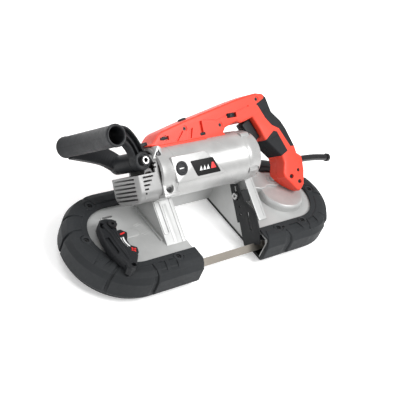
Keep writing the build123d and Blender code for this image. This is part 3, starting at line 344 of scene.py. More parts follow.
CARRIED = {
    SILVER: "frame_left frame_right frame_bridge gear_cover",
    MOTOR_SILVER: "motor_housing end_cap vent_cover",
    MACHINED: "drive_wheel idler_wheel",
    RUBBER: "bumper_left bumper_right",
    GUARD: "rear_guard_left rear_guard_right",
    RED: "handle_rear handle_front",
    GRIP: "grip_rear grip_front",
    BLACK: "front_handle handle_bracket tension_lever trigger lock_button switch_body speed_dial fan "
           "cord_clamp brush_caps",
    SLEEVE: "cord_guard lead",
    BAND: "blade",
    STEEL: "idler_bush drive_shaft wheel_gear lay_shaft down_shaft shaft_bearings idler_carriage "
           "carriage_rails tension_spring stop_screw motor_bearings guide_roller_left_front "
           "guide_roller_left_back guide_roller_right_front guide_roller_right_back edge_roller_left "
           "edge_roller_right",
    DARK_STEEL: "lever_pivot case_screws pivot_bolt",
    TYRE: "drive_tyre idler_tyre",
    IRON: "stator armature",
    CARBON: "carbon_brushes",
    STOP: "guide_bracket_left guide_bracket_right work_stop stop_bracket",
    BADGE: "badge_plate",
}
for material, names in CARRIED.items():
    for name in names.split():
        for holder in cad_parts[name].material_slots:
            holder.material = material
print("dressed", sum(len(names.split()) for names in CARRIED.values()), "nodes")

# %% [markdown]
# ## Modelling helpers
# Most of the saw's pieces are plates and mouldings: an outline that is raised and has its edges
# rounded. One helper raises an outline, one rounds edges, one cuts pieces out of each other, and
# one turns the result into a finished object that rides on its CAD body.

# %% Raise, round, cut and make
def raised(outline, low, high, corner=0.0, rim=0.0, both=False, segments=3):
    """An outline raised from low to high, with its upright corners and its rims rounded."""
    bm = bmesh.new()
    base = bm.faces.new([bm.verts.new((u, v, low)) for u, v in outline])
    moved = bmesh.ops.extrude_face_region(bm, geom=[base])["geom"]
    bmesh.ops.translate(bm, vec=(0, 0, high - low),
                        verts=[v for v in moved if isinstance(v, bmesh.types.BMVert)])
    bmesh.ops.recalc_face_normals(bm, faces=bm.faces)
    if corner:
        uprights = [e for e in bm.edges if abs(e.verts[0].co.z - e.verts[1].co.z) > 1e-4]
        soften(bm, uprights, corner, segments)
    if rim:
        levels = (low, high) if both else (high,)
        rims = [e for e in bm.edges if any(all(abs(v.co.z - z) < 1e-4 for v in e.verts) for z in levels)]
        soften(bm, rims, rim, segments)
    return bm


def soften(bm, edges, width, segments=3):
    bmesh.ops.bevel(bm, geom=edges, offset=width, offset_type="OFFSET", segments=segments, profile=0.5,
                    affect="EDGES", material=-1, clamp_overlap=True)


def rod(radius, low, high, rim=0.0, sides=40, at=(0, 0)):
    """A round bar along the drawing plane's third axis."""
    bm = bmesh.new()
    bmesh.ops.create_cone(bm, cap_ends=True, segments=sides, radius1=radius, radius2=radius, depth=high - low,
                          matrix=Matrix.Translation((at[0], at[1], (low + high) / 2)))
    if rim:
        soften(bm, [e for e in bm.edges if all(abs(v.co.z - high) < 1e-4 for v in e.verts)], rim, 2)
    return bm


def turned(profile, steps=64, at=(0, 0)):
    """A closed profile of (radius, height) points spun once round the third axis."""
    bm = bmesh.new()
    face = bm.faces.new([bm.verts.new((r, 0, z)) for r, z in profile])
    bmesh.ops.spin(bm, geom=[face, *face.edges, *face.verts], axis=(0, 0, 1), cent=(0, 0, 0), steps=steps,
                   angle=2 * pi, use_merge=True)
    bmesh.ops.delete(bm, geom=[f for f in bm.faces if len(f.verts) == len(profile) and abs(f.normal.z) < 1e-5
                               and all(abs(v.co.y) < 1e-5 for v in f.verts)], context="FACES_ONLY")
    bmesh.ops.remove_doubles(bm, verts=bm.verts, dist=1e-4)
    bmesh.ops.recalc_face_normals(bm, faces=bm.faces)
    bmesh.ops.translate(bm, vec=(at[0], at[1], 0), verts=bm.verts)
    return bm


def as_object(bm, name="working"):
    mesh = bpy.data.meshes.new(name)
    bm.to_mesh(mesh)
    bm.free()
    made = bpy.data.objects.new(name, mesh)
    bpy.context.collection.objects.link(made)
    return made


def combined(bm, others, operation="DIFFERENCE"):
    """The solid with others cut away, or only what it shares with them."""
    body = as_object(bm)
    tools = [as_object(other) for other in others]
    for tool in tools:
        step = body.modifiers.new("cut", "BOOLEAN")
        step.operation, step.object, step.solver = operation, tool, "EXACT"
    bpy.context.view_layer.update()
    final = bpy.data.meshes.new_from_object(body.evaluated_get(bpy.context.evaluated_depsgraph_get()))
    result = bmesh.new()
    result.from_mesh(final)
    for item in (body, *tools):
        bpy.data.objects.remove(item)
    return result


def piece(name, solids, plane, material, body, replaces=(), smooth=32):
    """Joins the solids into one object, sets it in place and lets it ride on its body."""
    joined = bmesh.new()
    for solid in solids:
        shape = bpy.data.meshes.new("shape")
        solid.to_mesh(shape)
        solid.free()
        joined.from_mesh(shape)
    bmesh.ops.remove_doubles(joined, verts=joined.verts, dist=1e-4)
    bmesh.ops.transform(joined, matrix=plane, verts=joined.verts)
    made = as_object(joined, name)
    made.data.materials.append(material)
    made.data.shade_smooth()
    made.data.set_sharp_from_angle(angle=radians(smooth))
    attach(made, body)
    if replaces:
        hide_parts(*replaces)
    print("made", name, len(made.data.polygons), "faces")
    return made


# %% [markdown]
# ## Rubber bumpers
# Each wheel housing sits in a thick rubber sleeve whose top and side are covered with raised blocks.
# A sleeve is easiest to draw unrolled: a straight bar, cut into short steps and then wrapped round
# the housing. The blocks are drawn on the same unrolled strip, so they wrap with it.

# %% Wrapping a straight strip round a housing
BLOCK_TOP, SCREW_HOLE = 5.8, 4.4
SLEEVE_R, SLEEVE_IN, LIP_IN, LIP_HIGH, SLEEVE_LOW = 94.6, 88.3, 61.0, 4.0, -43.0
WRAP_R = 90.0
SCREWS = ((-195, 69), (-135.5, 76), (-240, 5), (-115, -70), (105, -71), (166, -70), (240, -8))


def wrapped(bm, side, throat, reach=6.0):
    """Bends (along, radius, height) coordinates round a housing, from its blade side to its motor side."""
    straight = abs(side * HALF - throat)
    turn = pi * WRAP_R
    low = min(v.co.x for v in bm.verts)
    high = max(v.co.x for v in bm.verts)
    cuts = int((high - low) / reach)
    for step in range(1, cuts + 1):
        s = low + (high - low) * step / (cuts + 1)
        bmesh.ops.bisect_plane(bm, geom=[*bm.verts, *bm.edges, *bm.faces], plane_co=(s, 0, 0),
                               plane_no=(1, 0, 0))
    for v in bm.verts:
        s, r, z = v.co
        if s < straight:
            v.co = (throat + side * s, -r, z)
        elif s < straight + turn:
            angle = (s - straight) / WRAP_R
            v.co = (side * (HALF + r * sin(angle)), -r * cos(angle), z)
        else:
            v.co = (side * (HALF - (s - straight - turn)), r, z)
    bmesh.ops.recalc_face_normals(bm, faces=bm.faces)
    return bm


def sleeve_bar(length):
    """The sleeve's section, run along the unrolled strip."""
    section = ((LIP_IN, 0.1), (LIP_IN, LIP_HIGH), (84, LIP_HIGH), (90.5, 0), (SLEEVE_R, -10), (SLEEVE_R, -36),
               (92.5, SLEEVE_LOW), (SLEEVE_IN, SLEEVE_LOW), (SLEEVE_IN, 0.1))
    bm = bmesh.new()
    face = bm.faces.new([bm.verts.new((0, r, z)) for r, z in section])
    moved = bmesh.ops.extrude_face_region(bm, geom=[face])["geom"]
    bmesh.ops.translate(bm, vec=(length, 0, 0), verts=[v for v in moved if isinstance(v, bmesh.types.BMVert)])
    bmesh.ops.recalc_face_normals(bm, faces=bm.faces)
    ends = [e for e in bm.edges if abs(e.verts[0].co.x - e.verts[1].co.x) < 1e-4
            and min(v.co.y for v in e.verts) > 89]
    soften(bm, ends, 2, 2)
    return bm


def block(start, end, slant=0.0, inner=69.0, low=-38.0):
    """A raised block over the sleeve's top, shoulder and side, with its ends slanted and rounded."""
    section = ((inner, 3), (inner + 1.5, BLOCK_TOP), (83, BLOCK_TOP), (92.6, 2.0), (98.2, -8.4),
               (98.2, low + 4),
               (96, low),
               (91, low), (91, -5), (84, 3))
    bm = bmesh.new()
    face = bm.faces.new([bm.verts.new((start, r, z)) for r, z in section])
    moved = bmesh.ops.extrude_face_region(bm, geom=[face])["geom"]
    bmesh.ops.translate(bm, vec=(end - start, 0, 0),
                        verts=[v for v in moved if isinstance(v, bmesh.types.BMVert)])
    bmesh.ops.recalc_face_normals(bm, faces=bm.faces)
    ends = [e for e in bm.edges if abs(e.verts[0].co.x - e.verts[1].co.x) < 1e-4
            and max(v.co.y for v in e.verts) > 91.5 or all(v.co.z > 5.5 for v in e.verts)]
    soften(bm, ends, 1.3, 3)
    for v in bm.verts:
        v.co.x += slant * (v.co.y - 84) / 14
    return bm


def bumper(name, side, throat, motor_side, blocks, recesses):
    straight = abs(side * HALF - throat)
    length = straight + pi * WRAP_R + abs(side * HALF - motor_side)
    near = [place for place in SCREWS if place[0] * side > 0]
    parts = [combined(wrapped(sleeve_bar(length), side, throat),
                      [rod(SCREW_HOLE, -3, 9, at=place) for place in near])]
    for start, end, slant in blocks:
        shape = block(start, end, slant)
        cuts = [raised(outline, level, 12, corner=1.2) for outline, level in recesses
                if start < outline[0][0] < end]
        shape = combined(shape, cuts) if cuts else shape
        shape = wrapped(shape, side, throat)
        parts.append(combined(shape, [rod(9.4, -3, 12, at=place) for place in near]))
    for place in near:
        boss = turned(((SCREW_HOLE, 0.2), (9.6, 0.2), (9.0, 4.4), (7.8, 5.7), (5.4, 5.7), (SCREW_HOLE, 5.0)),
                      28, place)
        parts.append(boss)
    return piece(name, parts, PLATE, RUBBER, "root", [name], 28)


# %% Two sleeves
LEFT_BLOCKS = ((2, 92, 0), (97, 160, 5), (165, 194, 5), (199, 262, -4), (267, 300, -4), (305, 352, -4),
               (357, 418, 0))
LEFT_RECESSES = (
    (((46, 71), (62, 71), (70, 96), (54, 96)), 3.2), (((68, 71), (80, 71), (88, 96), (76, 96)), 3.2),
    (((170, 71), (178, 71), (186, 96), (178, 96)), 3.8),
)
RIGHT_BLOCKS = ((2, 46, -6), (50, 98, 6), (104, 152, -6), (158, 214, 5), (219, 268, -5), (273, 330, 4),
                (335, 424, 0))
RIGHT_RECESSES = ((((60, 72), (82, 72), (88, 90), (66, 90)), 3.6),
                  (((112, 72), (134, 72), (128, 90), (118, 90)), 3.6))
bumper("bumper_left", -1, -75.0, -125.0, LEFT_BLOCKS, LEFT_RECESSES)
bumper("bumper_right", 1, 68.0, 125.0, RIGHT_BLOCKS, RIGHT_RECESSES)

# %% [markdown]
# ## Red handle
# The handle's two shells are mouldings with full, round edges. Each is its outline raised from the
# parting face, with the outer rim rounded in several steps. The rubber grips are cut out of the
# same rounded body, so that red and black meet without a step.

# %% Handle outlines, as (along, up) points
HANDLE = (
    (-120, 127), (-106, 131), (-100, 137), (-93, 143), (-84, 146.5), (-36, 156.5), (24, 167), (81, 177),
    (115, 181.7), (131, 182.8), (146, 180), (153, 173), (160, 147), (178, 129), (187, 114), (201, 80),
    (203, 68), (213.5, 60.5), (214, 50), (213, 35), (206.5, 10), (198, 3.4), (193, 1), (186, 5),
    (173, 20), (163, 30), (162, 39), (168, 55), (166, 66.4), (149, 84), (133.5, 100), (125, 121),
    (113, 143), (96, 139), (84, 137), (75, 141), (48, 134), (42, 127), (52, 116), (-94, 116), (-101, 124),
)
REAR_GRIP = (
    (150, 190), (146, 172), (126, 164), (129.8, 160.8), (142, 138), (154, 124), (169.6, 116), (189.5, 81.5),
    (215, 79), (200, 140),
)
FRONT_GRIP = ((120, 98), (133.5, 100), (156, 114), (163.5, 111.3), (181, 74.7), (161, 66.4), (140, 70))
POCKET = ((92, 134), (100, 137.5), (121, 147.5), (141, 112), (124.5, 102), (108, 105))
DIAL_SLOT = ((55, 148.5), (55, 156.5), (77, 156.5), (77, 148.5))
HANDLE_H, HANDLE_HALF = 14.0, 19.0
MOTOR_A, MOTOR_R = 83.5, 43.0
LOCK_PLACE = (120, 158)
HANDLE_SCREWS = ((-82.7, 134.6), (37, 140), (129, 172.4), (-39, 144), (198, 37.4), (179, 29), (196.7, 17))


def grown(outline, extra):
    """The outline moved outwards by about that much, for a clean cut beside it."""
    centre = sum((Vector(point) for point in outline), Vector((0, 0))) / len(outline)
    return [tuple(Vector(point) + (Vector(point) - centre).normalized() * extra) for point in outline]


def shell_body(front):
    """One half of the handle as a full rounded moulding, before its openings are cut."""
    body = raised(HANDLE, 0, HANDLE_HALF - 0.15, rim=6.5, segments=5)
    if not front:
        bmesh.ops.scale(body, vec=(1, 1, -1), verts=body.verts)
        bmesh.ops.recalc_face_normals(body, faces=body.faces)
    bmesh.ops.translate(body, vec=(0, 0, HANDLE_H + (0.15 if front else -0.15)), verts=body.verts)
    return body


def motor_bar():
    """The motor's round, lying along the saw, to cut where the handle sits on it."""
    bar = rod(MOTOR_R + 0.2, -140, 120, sides=96)
    bmesh.ops.rotate(bar, matrix=Matrix.Rotation(pi / 2, 3, "Y"), verts=bar.verts)
    bmesh.ops.translate(bar, vec=(0, MOTOR_A, HANDLE_H), verts=bar.verts)
    return bar


# Grooves and recesses pressed into the front shell, each as an outline and a depth.
RECESSES = (
    (((-66, 126), (-48, 141), (-42, 141), (-57, 126)), 2.4),
    (((-38, 127), (-31, 142), (-22, 143.5), (-28, 127)), 2.4),
    (((-8, 128), (-8, 151), (-1, 152.5), (-1, 128)), 4.0),
    (((2, 150.5), (30, 147.5), (52, 152), (108, 162), (108, 165), (52, 155), (30, 150.5), (2, 153.5)), 1.6),
    (((-92, 131), (-92, 137.5), (-74, 137.5), (-74, 131)), 3.2),
)
HEEL_HOLES = (((179, 29), 5.2, 4.0), ((196.7, 17), 4.8, 3.8), ((198, 37.4), 3.2, 3.2))


def handle_shell(front):
    low, high = (HANDLE_H - 1, 60) if front else (-40, HANDLE_H + 1)
    cuts = [raised(REAR_GRIP, low, high), raised(FRONT_GRIP, low, high), motor_bar(),
            raised(POCKET, HANDLE_H - 9, HANDLE_H + 9)]
    plate_cut = rod(110, -60, 14, sides=48, at=(HALF, 0))
    bmesh.ops.transform(plate_cut, matrix=SAW.inverted() @ PLATE, verts=plate_cut.verts)
    cuts.append(plate_cut)
    if front:
        face = HANDLE_H + HANDLE_HALF
        cuts.append(raised(DIAL_SLOT, HANDLE_H + 2, 60))
        cuts += [raised(outline, face - depth, 60) for outline, depth in RECESSES]
        cuts += [rod(3.1, face - 4, 60, sides=24, at=place) for place in HANDLE_SCREWS[:4]]
        cuts += [rod(5.2, face - 1.2, 60, sides=24, at=place) for place in HANDLE_SCREWS[:4]]
        for place, wide, tall in HEEL_HOLES:
            hole = rod(1, face - 12, 60, sides=28)
            bmesh.ops.scale(hole, vec=(wide, tall, 1), verts=hole.verts)
            bmesh.ops.translate(hole, vec=(*place, 0), verts=hole.verts)
            cuts.append(hole)
    else:
        cuts.append(rod(5.3, -40, HANDLE_H - 10, sides=32, at=LOCK_PLACE))
    bore = rod(6.1, 190, 240, sides=32)
    bmesh.ops.rotate(bore, matrix=Matrix.Rotation(pi / 2, 3, "Y"), verts=bore.verts)
    bmesh.ops.translate(bore, vec=(0, 54.5, HANDLE_H), verts=bore.verts)
    cuts.append(bore)
    return combined(shell_body(front), cuts)


# A flange along the shell's lower edge, where it is seated on the motor.
def seat_flange():
    bm = raised(((-116, 120), (-104, 116), (52, 116), (44, 121), (2, 121), (-3, 125.5), (-100, 125.5)),
                HANDLE_H + 14, HANDLE_H + 21.5, rim=1.5)
    return combined(bm, [motor_bar()])


piece("handle_front_shell", [handle_shell(True), seat_flange()], SAW, RED, "root",
      ["handle_front"])
piece("handle_rear_shell", [handle_shell(False)], SAW, RED, "root", ["handle_rear"])


# %% Black clips in the shell's recesses and bumps along its back
clips = [raised(((-90, 132.5), (-90, 136), (-76, 136), (-76, 132.5)), HANDLE_H + 15, HANDLE_H + 18.4,
                rim=0.8),
         raised(((-9, 128.6), (-9, 133), (2, 133), (2, 128.6)), HANDLE_H + 14, HANDLE_H + 19.6, rim=0.8),
         raised(((-34, 155), (-31, 160.4), (-22, 162.2), (-19, 158)), HANDLE_H - 5, HANDLE_H + 5, rim=1.4,
                both=True),
         raised(((-127, 126), (-126, 132.5), (-113, 134), (-112, 129)), HANDLE_H - 3, HANDLE_H + 12, rim=1.6,
                both=True)]
piece("handle_clips", clips, SAW, BLACK, "root")


# %% Rubber grips with shallow bands
def grip_pad(outline, bands):
    """The rounded body inside the grip's outline, with shallow grooves across it."""
    halves = []
    for front in (True, False):
        body = shell_body(front)
        low, high = (HANDLE_H, 60) if front else (-40, HANDLE_H)
        shape = combined(body, [raised(grown(outline, -0.3), low - 2, high + 2)], "INTERSECT")
        cuts = [raised(POCKET, HANDLE_H - 9, HANDLE_H + 9)]
        face = HANDLE_H + (HANDLE_HALF if front else -HANDLE_HALF)
        for band in bands:
            cuts.append(raised(band, face - 0.7, face + 0.7))
        halves.append(combined(shape, cuts))
    return halves


piece("grip_rear_pad", grip_pad(REAR_GRIP, (((140, 152), (151, 156), (152, 153.5), (141, 149.5)),
                                            ((165, 124), (180, 121), (179, 118.5), (166, 121.5)))),
      SAW, GRIP, "root", ["grip_rear"])
piece("grip_front_pad", grip_pad(FRONT_GRIP, (((140, 100), (166, 106), (167, 103.6), (141, 97.6)),)),
      SAW, GRIP, "root", ["grip_front"])

# %% Trigger with a rounded finger face
TRIGGER = ((94, 134), (113, 142.6), (132, 109), (124, 103.5), (115, 104), (109, 107))
piece("trigger_blade", [raised(TRIGGER, HANDLE_H - 8.5, HANDLE_H + 8.5, rim=3, both=True, segments=4)], SAW,
      BLACK,
      "trigger", ["trigger"])

# %% [markdown]
# ## Motor body
# The motor's barrel is a casting with a flat panel for its badge, a band at the gear end, and a
# flared collar at the vent end with a foot over the leg. Spinning a profile gives the barrel with
# its steps and its wall in one go, and the panel and foot are raised outlines that run into it.

# %% Barrel, panel and foot
BARREL = (
    (39, -118), (41, -118), (43.6, -116.5), (43.6, -106), (43, -104), (43, -88.2), (42.5, -87.8),
    (42.5, -86.8),
    (43, -86.4), (43, 58), (43.5, 59), (43.5, 66.4), (42.8, 67), (39, 67),
)


def barrel_part(profile, steps=96):
    """A profile of (radius, along) spun round the motor's axis, in the saw plane's coordinates."""
    bm = turned(profile, steps)
    bmesh.ops.rotate(bm, matrix=Matrix.Rotation(pi / 2, 3, "Y"), verts=bm.verts)
    bmesh.ops.translate(bm, vec=(0, MOTOR_A, HANDLE_H), verts=bm.verts)
    return bm


def bore_bar(radius=39.0):
    bar = rod(radius, -150, 110, sides=64)
    bmesh.ops.rotate(bar, matrix=Matrix.Rotation(pi / 2, 3, "Y"), verts=bar.verts)
    bmesh.ops.translate(bar, vec=(0, MOTOR_A, HANDLE_H), verts=bar.verts)
    return bar


PANEL = ((-97, 104), (-27, 104), (9, 62), (-92, 62))
panel = combined(raised(PANEL, HANDLE_H, 57.4, corner=3, rim=1.6, segments=4), [bore_bar(40)])
foot = combined(raised(((-118, 94), (-103, 94), (-91.5, 44.5), (-118, 44.5)), HANDLE_H, 51.8, corner=1.5,
                       rim=2.2),
                [bore_bar(40), rod(7.6, 41.5, 60, at=(-106, 57)), raised(((-112, 62), (-111, 84), (-104, 84),
                                                                           (-99.5, 62)), 45, 60)])
foot_lug = combined(raised(((-121, 44), (-92, 44), (-92, 49), (-121, 49)), HANDLE_H + 8, 56, corner=1, rim=2),
                    [bore_bar(40)])
clip_seat = combined(raised(((-124, 106), (-104, 104), (-104, 122), (-110, 126)), HANDLE_H + 6, 47, corner=2,
                            rim=2.5),
                     [bore_bar(40), raised(((-119, 109), (-108, 108), (-109, 120)), 43, 60)])
piece("motor_body", [barrel_part(BARREL), panel, foot, foot_lug, clip_seat], SAW, MOTOR_SILVER, "root",
      ["motor_housing"])
piece("motor_bolts", [rod(4.6, 42, 49.5, 1, 24, (-106, 57)), rod(4.2, 43.2, 49, 1, 24, (-112, 112)),
                      rod(2.4, 49, 50.2, 0.4, 6, (-106, 57))], SAW, DARK_STEEL, "root")

# %% Brush caps with a screwdriver slot
def brush_cap(side):
    cap = turned(((0, 40.6), (9.4, 40.6), (9.4, 43.4), (11.4, 43.4), (11.4, 44.6), (10.4, 45.6), (7.6, 45.6),
                  (6.6, 44.4), (0, 44.4)), 40)
    cap = combined(cap, [raised(((-5.4, -0.9), (5.4, -0.9), (5.4, 0.9), (-5.4, 0.9)), 43.2, 50)])
    if side < 0:
        bmesh.ops.rotate(cap, matrix=Matrix.Rotation(pi, 3, "X"), verts=cap.verts)
    bmesh.ops.translate(cap, vec=(-80, MOTOR_A, HANDLE_H), verts=cap.verts)
    return cap


piece("brush_cap_pair", [brush_cap(1), brush_cap(-1)], SAW, BLACK, "root", ["brush_caps"])

# %% End cap with its screw bosses
CAP = (
    (36, 67.2), (42.4, 67.2), (42.9, 68), (42.9, 78), (42.3, 79), (42.3, 90), (40.5, 95.4), (35, 98.8),
    (25, 99.8),
    (0, 99.8), (0, 96), (30, 95), (36, 88),
)
bosses = []
for number in range(4):
    angle = radians(38 + 90 * number)
    boss = rod(6.2, 67.4, 86, 1.5, 28, (MOTOR_R * 0.93 * cos(angle), MOTOR_R * 0.93 * sin(angle)))
    bmesh.ops.rotate(boss, matrix=Matrix.Rotation(pi / 2, 3, "Y"), verts=boss.verts)
    bmesh.ops.translate(boss, vec=(0, MOTOR_A, HANDLE_H), verts=boss.verts)
    bosses.append(combined(boss, [bore_bar(37)]))
piece("end_cap_casting", [barrel_part(CAP), *bosses], SAW, MOTOR_SILVER, "root", ["end_cap"])
screws = []
for number in range(4):
    angle = radians(38 + 90 * number)
    head = rod(3.6, 86.2, 89.4, 0.6, 24, (MOTOR_R * 0.95 * cos(angle), MOTOR_R * 0.95 * sin(angle)))
    bmesh.ops.rotate(head, matrix=Matrix.Rotation(pi / 2, 3, "Y"), verts=head.verts)
    bmesh.ops.translate(head, vec=(0, MOTOR_A, HANDLE_H), verts=head.verts)
    screws.append(head)
piece("end_cap_screws", screws, SAW, DARK_STEEL, "root")

# %% Badge: a plain dark plate with a generic saw-tooth mark
BADGE_FACE, MARK_TOP = 58.3, 58.7
BADGE_PLATE = ((-61, 91.5), (-14, 91.5), (-2, 66), (-51, 66))
piece("badge", [raised(BADGE_PLATE, 57.2, 58.4, corner=2.5, rim=0.4)], SAW, BADGE, "root",
      ["badge_plate"])
teeth = [raised(((u, 74), (u + 6, 74), (u + 4.4, 81.5)), BADGE_FACE, MARK_TOP, rim=0.1) for u in (-46, -38.5,
                                                                                                  -31)]
piece("badge_mark_white", teeth, SAW, WHITE, "root")
piece("badge_mark_red", [raised(((-22, 74), (-11, 74), (-15, 83.5), (-18.5, 83.5)), BADGE_FACE, MARK_TOP,
                                rim=0.1)],
      SAW,
      RED_PRINT, "root")

# %% [markdown]
# ## Vent cover
# The motor breathes through long slots in a rounded cover. The cover is a raised outline with a
# round rim, hollowed from its open end, and its slots are cut with rows of bars.

# %% Cover with slots
def vent_cover():
    bm = raised(((42.5, -21), (114.5, -21), (114.5, 49), (42.5, 49)), -162, -118.2, corner=18, segments=6)
    lows = [e for e in bm.edges if all(abs(v.co.z + 162) < 1e-4 for v in e.verts)]
    soften(bm, lows, 5, 3)
    hollow = raised(((46, -17.5), (111, -17.5), (111, 45.5), (46, 45.5)), -158.5, -110, corner=15, segments=6)
    cuts = [hollow, raised(((86, -60), (130, -60), (130, 70), (86, 70)), -190, -125.2)]
    for row in range(9):
        level = 50.5 + 6.2 * row
        right = -158 + 0.68 * (level - 50) + 6
        cuts.append(raised(((level - 1.4, 18), (level + 1.4, 18), (level + 1.4, 60), (level - 1.4, 60)),
                           -151, min(right, -121)))
        cuts.append(raised(((level - 1.4, -14), (level + 1.4, -14), (level + 1.4, 41), (level - 1.4, 41)),
                           -170, -155))
    return combined(bm, cuts)


# The vent cover uses the darker copy of the motor's silver, which is painted shade.
piece("vent_cover_casting", [vent_cover()], CROSS, PAINTED_SHADE_VENT_SILVER, "root", ["vent_cover"])

# %% [markdown]
# ## Loop handle
# The loop handle is one moulding: an open tube for the hand and two arms that lean inwards to a
# pair of hubs. Each arm is a section run through a few stations, so its width, height and lean
# change along the way. The near arm's section is a channel with a rib in its middle.

# %% A section run through stations
NEAR_ARM = ((-146, 106, 28.5, 15, 25, 112), (-153, 122, 32, 16, 22, 119), (-165, 137, 40, 17, 22, 136),
            (-183, 148.5, 51, 18, 25, 158), (-205, 150, 60, 19, 30, 178))
FAR_ARM = ((-146, 107, 28.5, 15, 26, 136), (-160, 121, 36, 15, 27, 138), (-174, 131, 45, 16, 30, 144),
           (-188, 139, 54, 17, 32, 152), (-203, 146, 61, 18, 33, 160))
CHANNEL = ((-0.5, -0.44), (-0.44, -0.5), (0.44, -0.5), (0.5, -0.46), (0.5, -0.36), (0.05, -0.32),
           (0.05, -0.07),
           (0.4, -0.05), (0.4, 0.05), (0.05, 0.07), (0.05, 0.32), (0.5, 0.36), (0.5, 0.46), (0.44, 0.5),
           (-0.44, 0.5),
           (-0.5, 0.44))
SMOOTH = ((-0.5, -0.4), (-0.46, -0.47), (-0.38, -0.5), (0.38, -0.5), (0.46, -0.47), (0.5, -0.4), (0.5, 0.4),
          (0.46, 0.47), (0.38, 0.5), (-0.38, 0.5), (-0.46, 0.47), (-0.5, 0.4))


def between(stations, share):
    """A smooth curve through the stations' numbers."""
    reached = share * (len(stations) - 1)
    number = min(int(reached), len(stations) - 2)
    t = reached - number
    before, first, second, after = (stations[max(0, min(len(stations) - 1, number + k))]
                                    for k in (-1, 0, 1, 2))
    return [0.5 * (2 * b + (c - a) * t + (2 * a - 5 * b + 4 * c - d) * t * t + (3 * b - a - 3 * c + d) * t**3)
            for a, b, c, d in zip(before, first, second, after)]


def arm_place(stations, side, share):
    x, a, h, wide, tall, lean = between(stations, share)
    lean = radians(lean)
    columns = (Vector((0, 0, side * wide)), Vector((-sin(lean), cos(lean), 0)) * tall,
               Vector((cos(lean), sin(lean), 0)))
    place = Matrix(columns).transposed().to_4x4()
    place.translation = (x, a, HANDLE_H + side * h)
    return place


def swept(section, places):
    """A closed section carried from place to place, with both ends closed."""
    bm = bmesh.new()
    face = bm.faces.new([bm.verts.new(places[0] @ Vector((u, v, 0))) for u, v in section])
    for before, after in zip(places, places[1:]):
        moved = bmesh.ops.extrude_face_region(bm, geom=[face])["geom"]
        face = next(f for f in moved if isinstance(f, bmesh.types.BMFace))
        bmesh.ops.transform(bm, matrix=after @ before.inverted(), verts=face.verts)
    bmesh.ops.recalc_face_normals(bm, faces=bm.faces)
    return bm


# %% Tube, arms and hubs
PIVOT = (-145.0, 107.0)
TUBE_AT = (-208.0, 150.0)
tube = turned(((13, -71), (14, -72), (15.6, -72), (17.2, -70.6), (17.2, -66.5), (16.5, -65), (16.5, 65),
               (17.2, 66.5),
               (17.2, 70.6), (15.8, 72.2), (14.2, 72.2), (13, 70.6)), 64, TUBE_AT)
bmesh.ops.translate(tube, vec=(0, 0, HANDLE_H), verts=tube.verts)
loop_parts = [tube]
for side, section, stations in ((1, CHANNEL, NEAR_ARM), (-1, SMOOTH, FAR_ARM)):
    arm = swept(section, [arm_place(stations, side, step / 20) for step in range(21)])
    loop_parts.append(combined(arm, [rod(15, -90, 120, sides=48, at=TUBE_AT),
                                     rod(13, -90, 120, sides=40, at=PIVOT)]))
    hub = turned(((4.3, 20.6), (14.6, 20.6), (15, 21.2), (15, 34), (14, 36.4), (12.4, 37.2), (10.6, 37.2),
                  (9.8, 35.6),
                  (8.6, 35.6), (8.0, 37.2), (4.3, 37.2)), 48)
    if side < 0:
        bmesh.ops.rotate(hub, matrix=Matrix.Rotation(pi, 3, "X"), verts=hub.verts)
    bmesh.ops.translate(hub, vec=(*PIVOT, HANDLE_H), verts=hub.verts)
    loop_parts.append(hub)
ring = turned(((3.7, 43.2), (5.6, 43.2), (5.6, 44), (3.7, 44)), 32, PIVOT)
bmesh.ops.translate(ring, vec=(0, 0, HANDLE_H), verts=ring.verts)
piece("pivot_ring", [ring], SAW, STEEL, "root")
piece("loop_handle", loop_parts, SAW, BLACK, "front_handle", ["front_handle"])

# %% Bracket between the hubs
FOOT = ((-163, 86.4), (-125.6, 86.4), (-125.6, 116), (-136, 119), (-158, 112), (-165, 100))
bracket = combined(raised(FOOT, HANDLE_H - 19.8, HANDLE_H + 19.8, corner=2, rim=2.2, both=True),
                   [raised(((-152, 90), (-133, 90), (-131, 101), (-150, 98)), HANDLE_H + 16, 60, corner=2)])
eye = rod(15, HANDLE_H - 20, HANDLE_H + 20, 1, 48, PIVOT)
piece("bracket_block", [bracket, eye], SAW, BLACK, "root", ["handle_bracket"])

# %% [markdown]
# ## Tension lever
# The lever is a thick, rounded moulding with pockets in its upper face. Its flange carries a minus
# and a plus with two white arcs between them, so that it shows which way the blade gets tighter.

# %% Lever, flange and marks
LEVER = (
    (-182, 16), (-188, 22), (-198, 25.5), (-208, 25), (-217, 16), (-221, 4), (-224.2, -10), (-225.8, -24),
    (-225.6, -38), (-223, -52), (-217.5, -65.5), (-220.5, -74), (-217, -80.6), (-208, -79.6), (-196, -66),
    (-188, -56.5), (-193.5, -44), (-196.5, -28), (-195.5, -12), (-190, 3),
)
FLANGE = ((-194, 3), (-180, 4), (-172.5, -5), (-178, -14), (-182.5, -20), (-182.5, -30), (-174.5, -37),
          (-178, -47),
          (-193, -50), (-197, -24))
lever = combined(raised(LEVER, 6.2, 20, rim=3.6, segments=4), [
    rod(7.6, 15.5, 30, sides=32, at=(-196, 8)),
    raised(((-217, 10), (-211, 19), (-207, 15), (-213, 5)), 14, 30, corner=1.5),
    raised(((-222.5, -12), (-214.5, -12), (-215, -44), (-221.5, -48), (-224, -30)), 17.2, 30, corner=2),
    raised(((-212, -69), (-205, -69), (-203, -75), (-211, -76)), 14, 30, corner=1.5)])
ridge = raised(((-212, 12), (-203, 14), (-201, -12), (-204, -40), (-206, -60), (-210, -62), (-211, -30),
                (-209, -8)),
               19, 21.6, rim=1.6, segments=3)
flange = raised(FLANGE, 6.2, 11, corner=1, rim=0.8)
piece("lever_moulding", [lever, ridge, flange], PLATE, BLACK, "tension_lever",
      ["tension_lever"])


SIGN_LOW, SIGN_HIGH, ARC_HIGH = 10.9, 11.4, 11.3


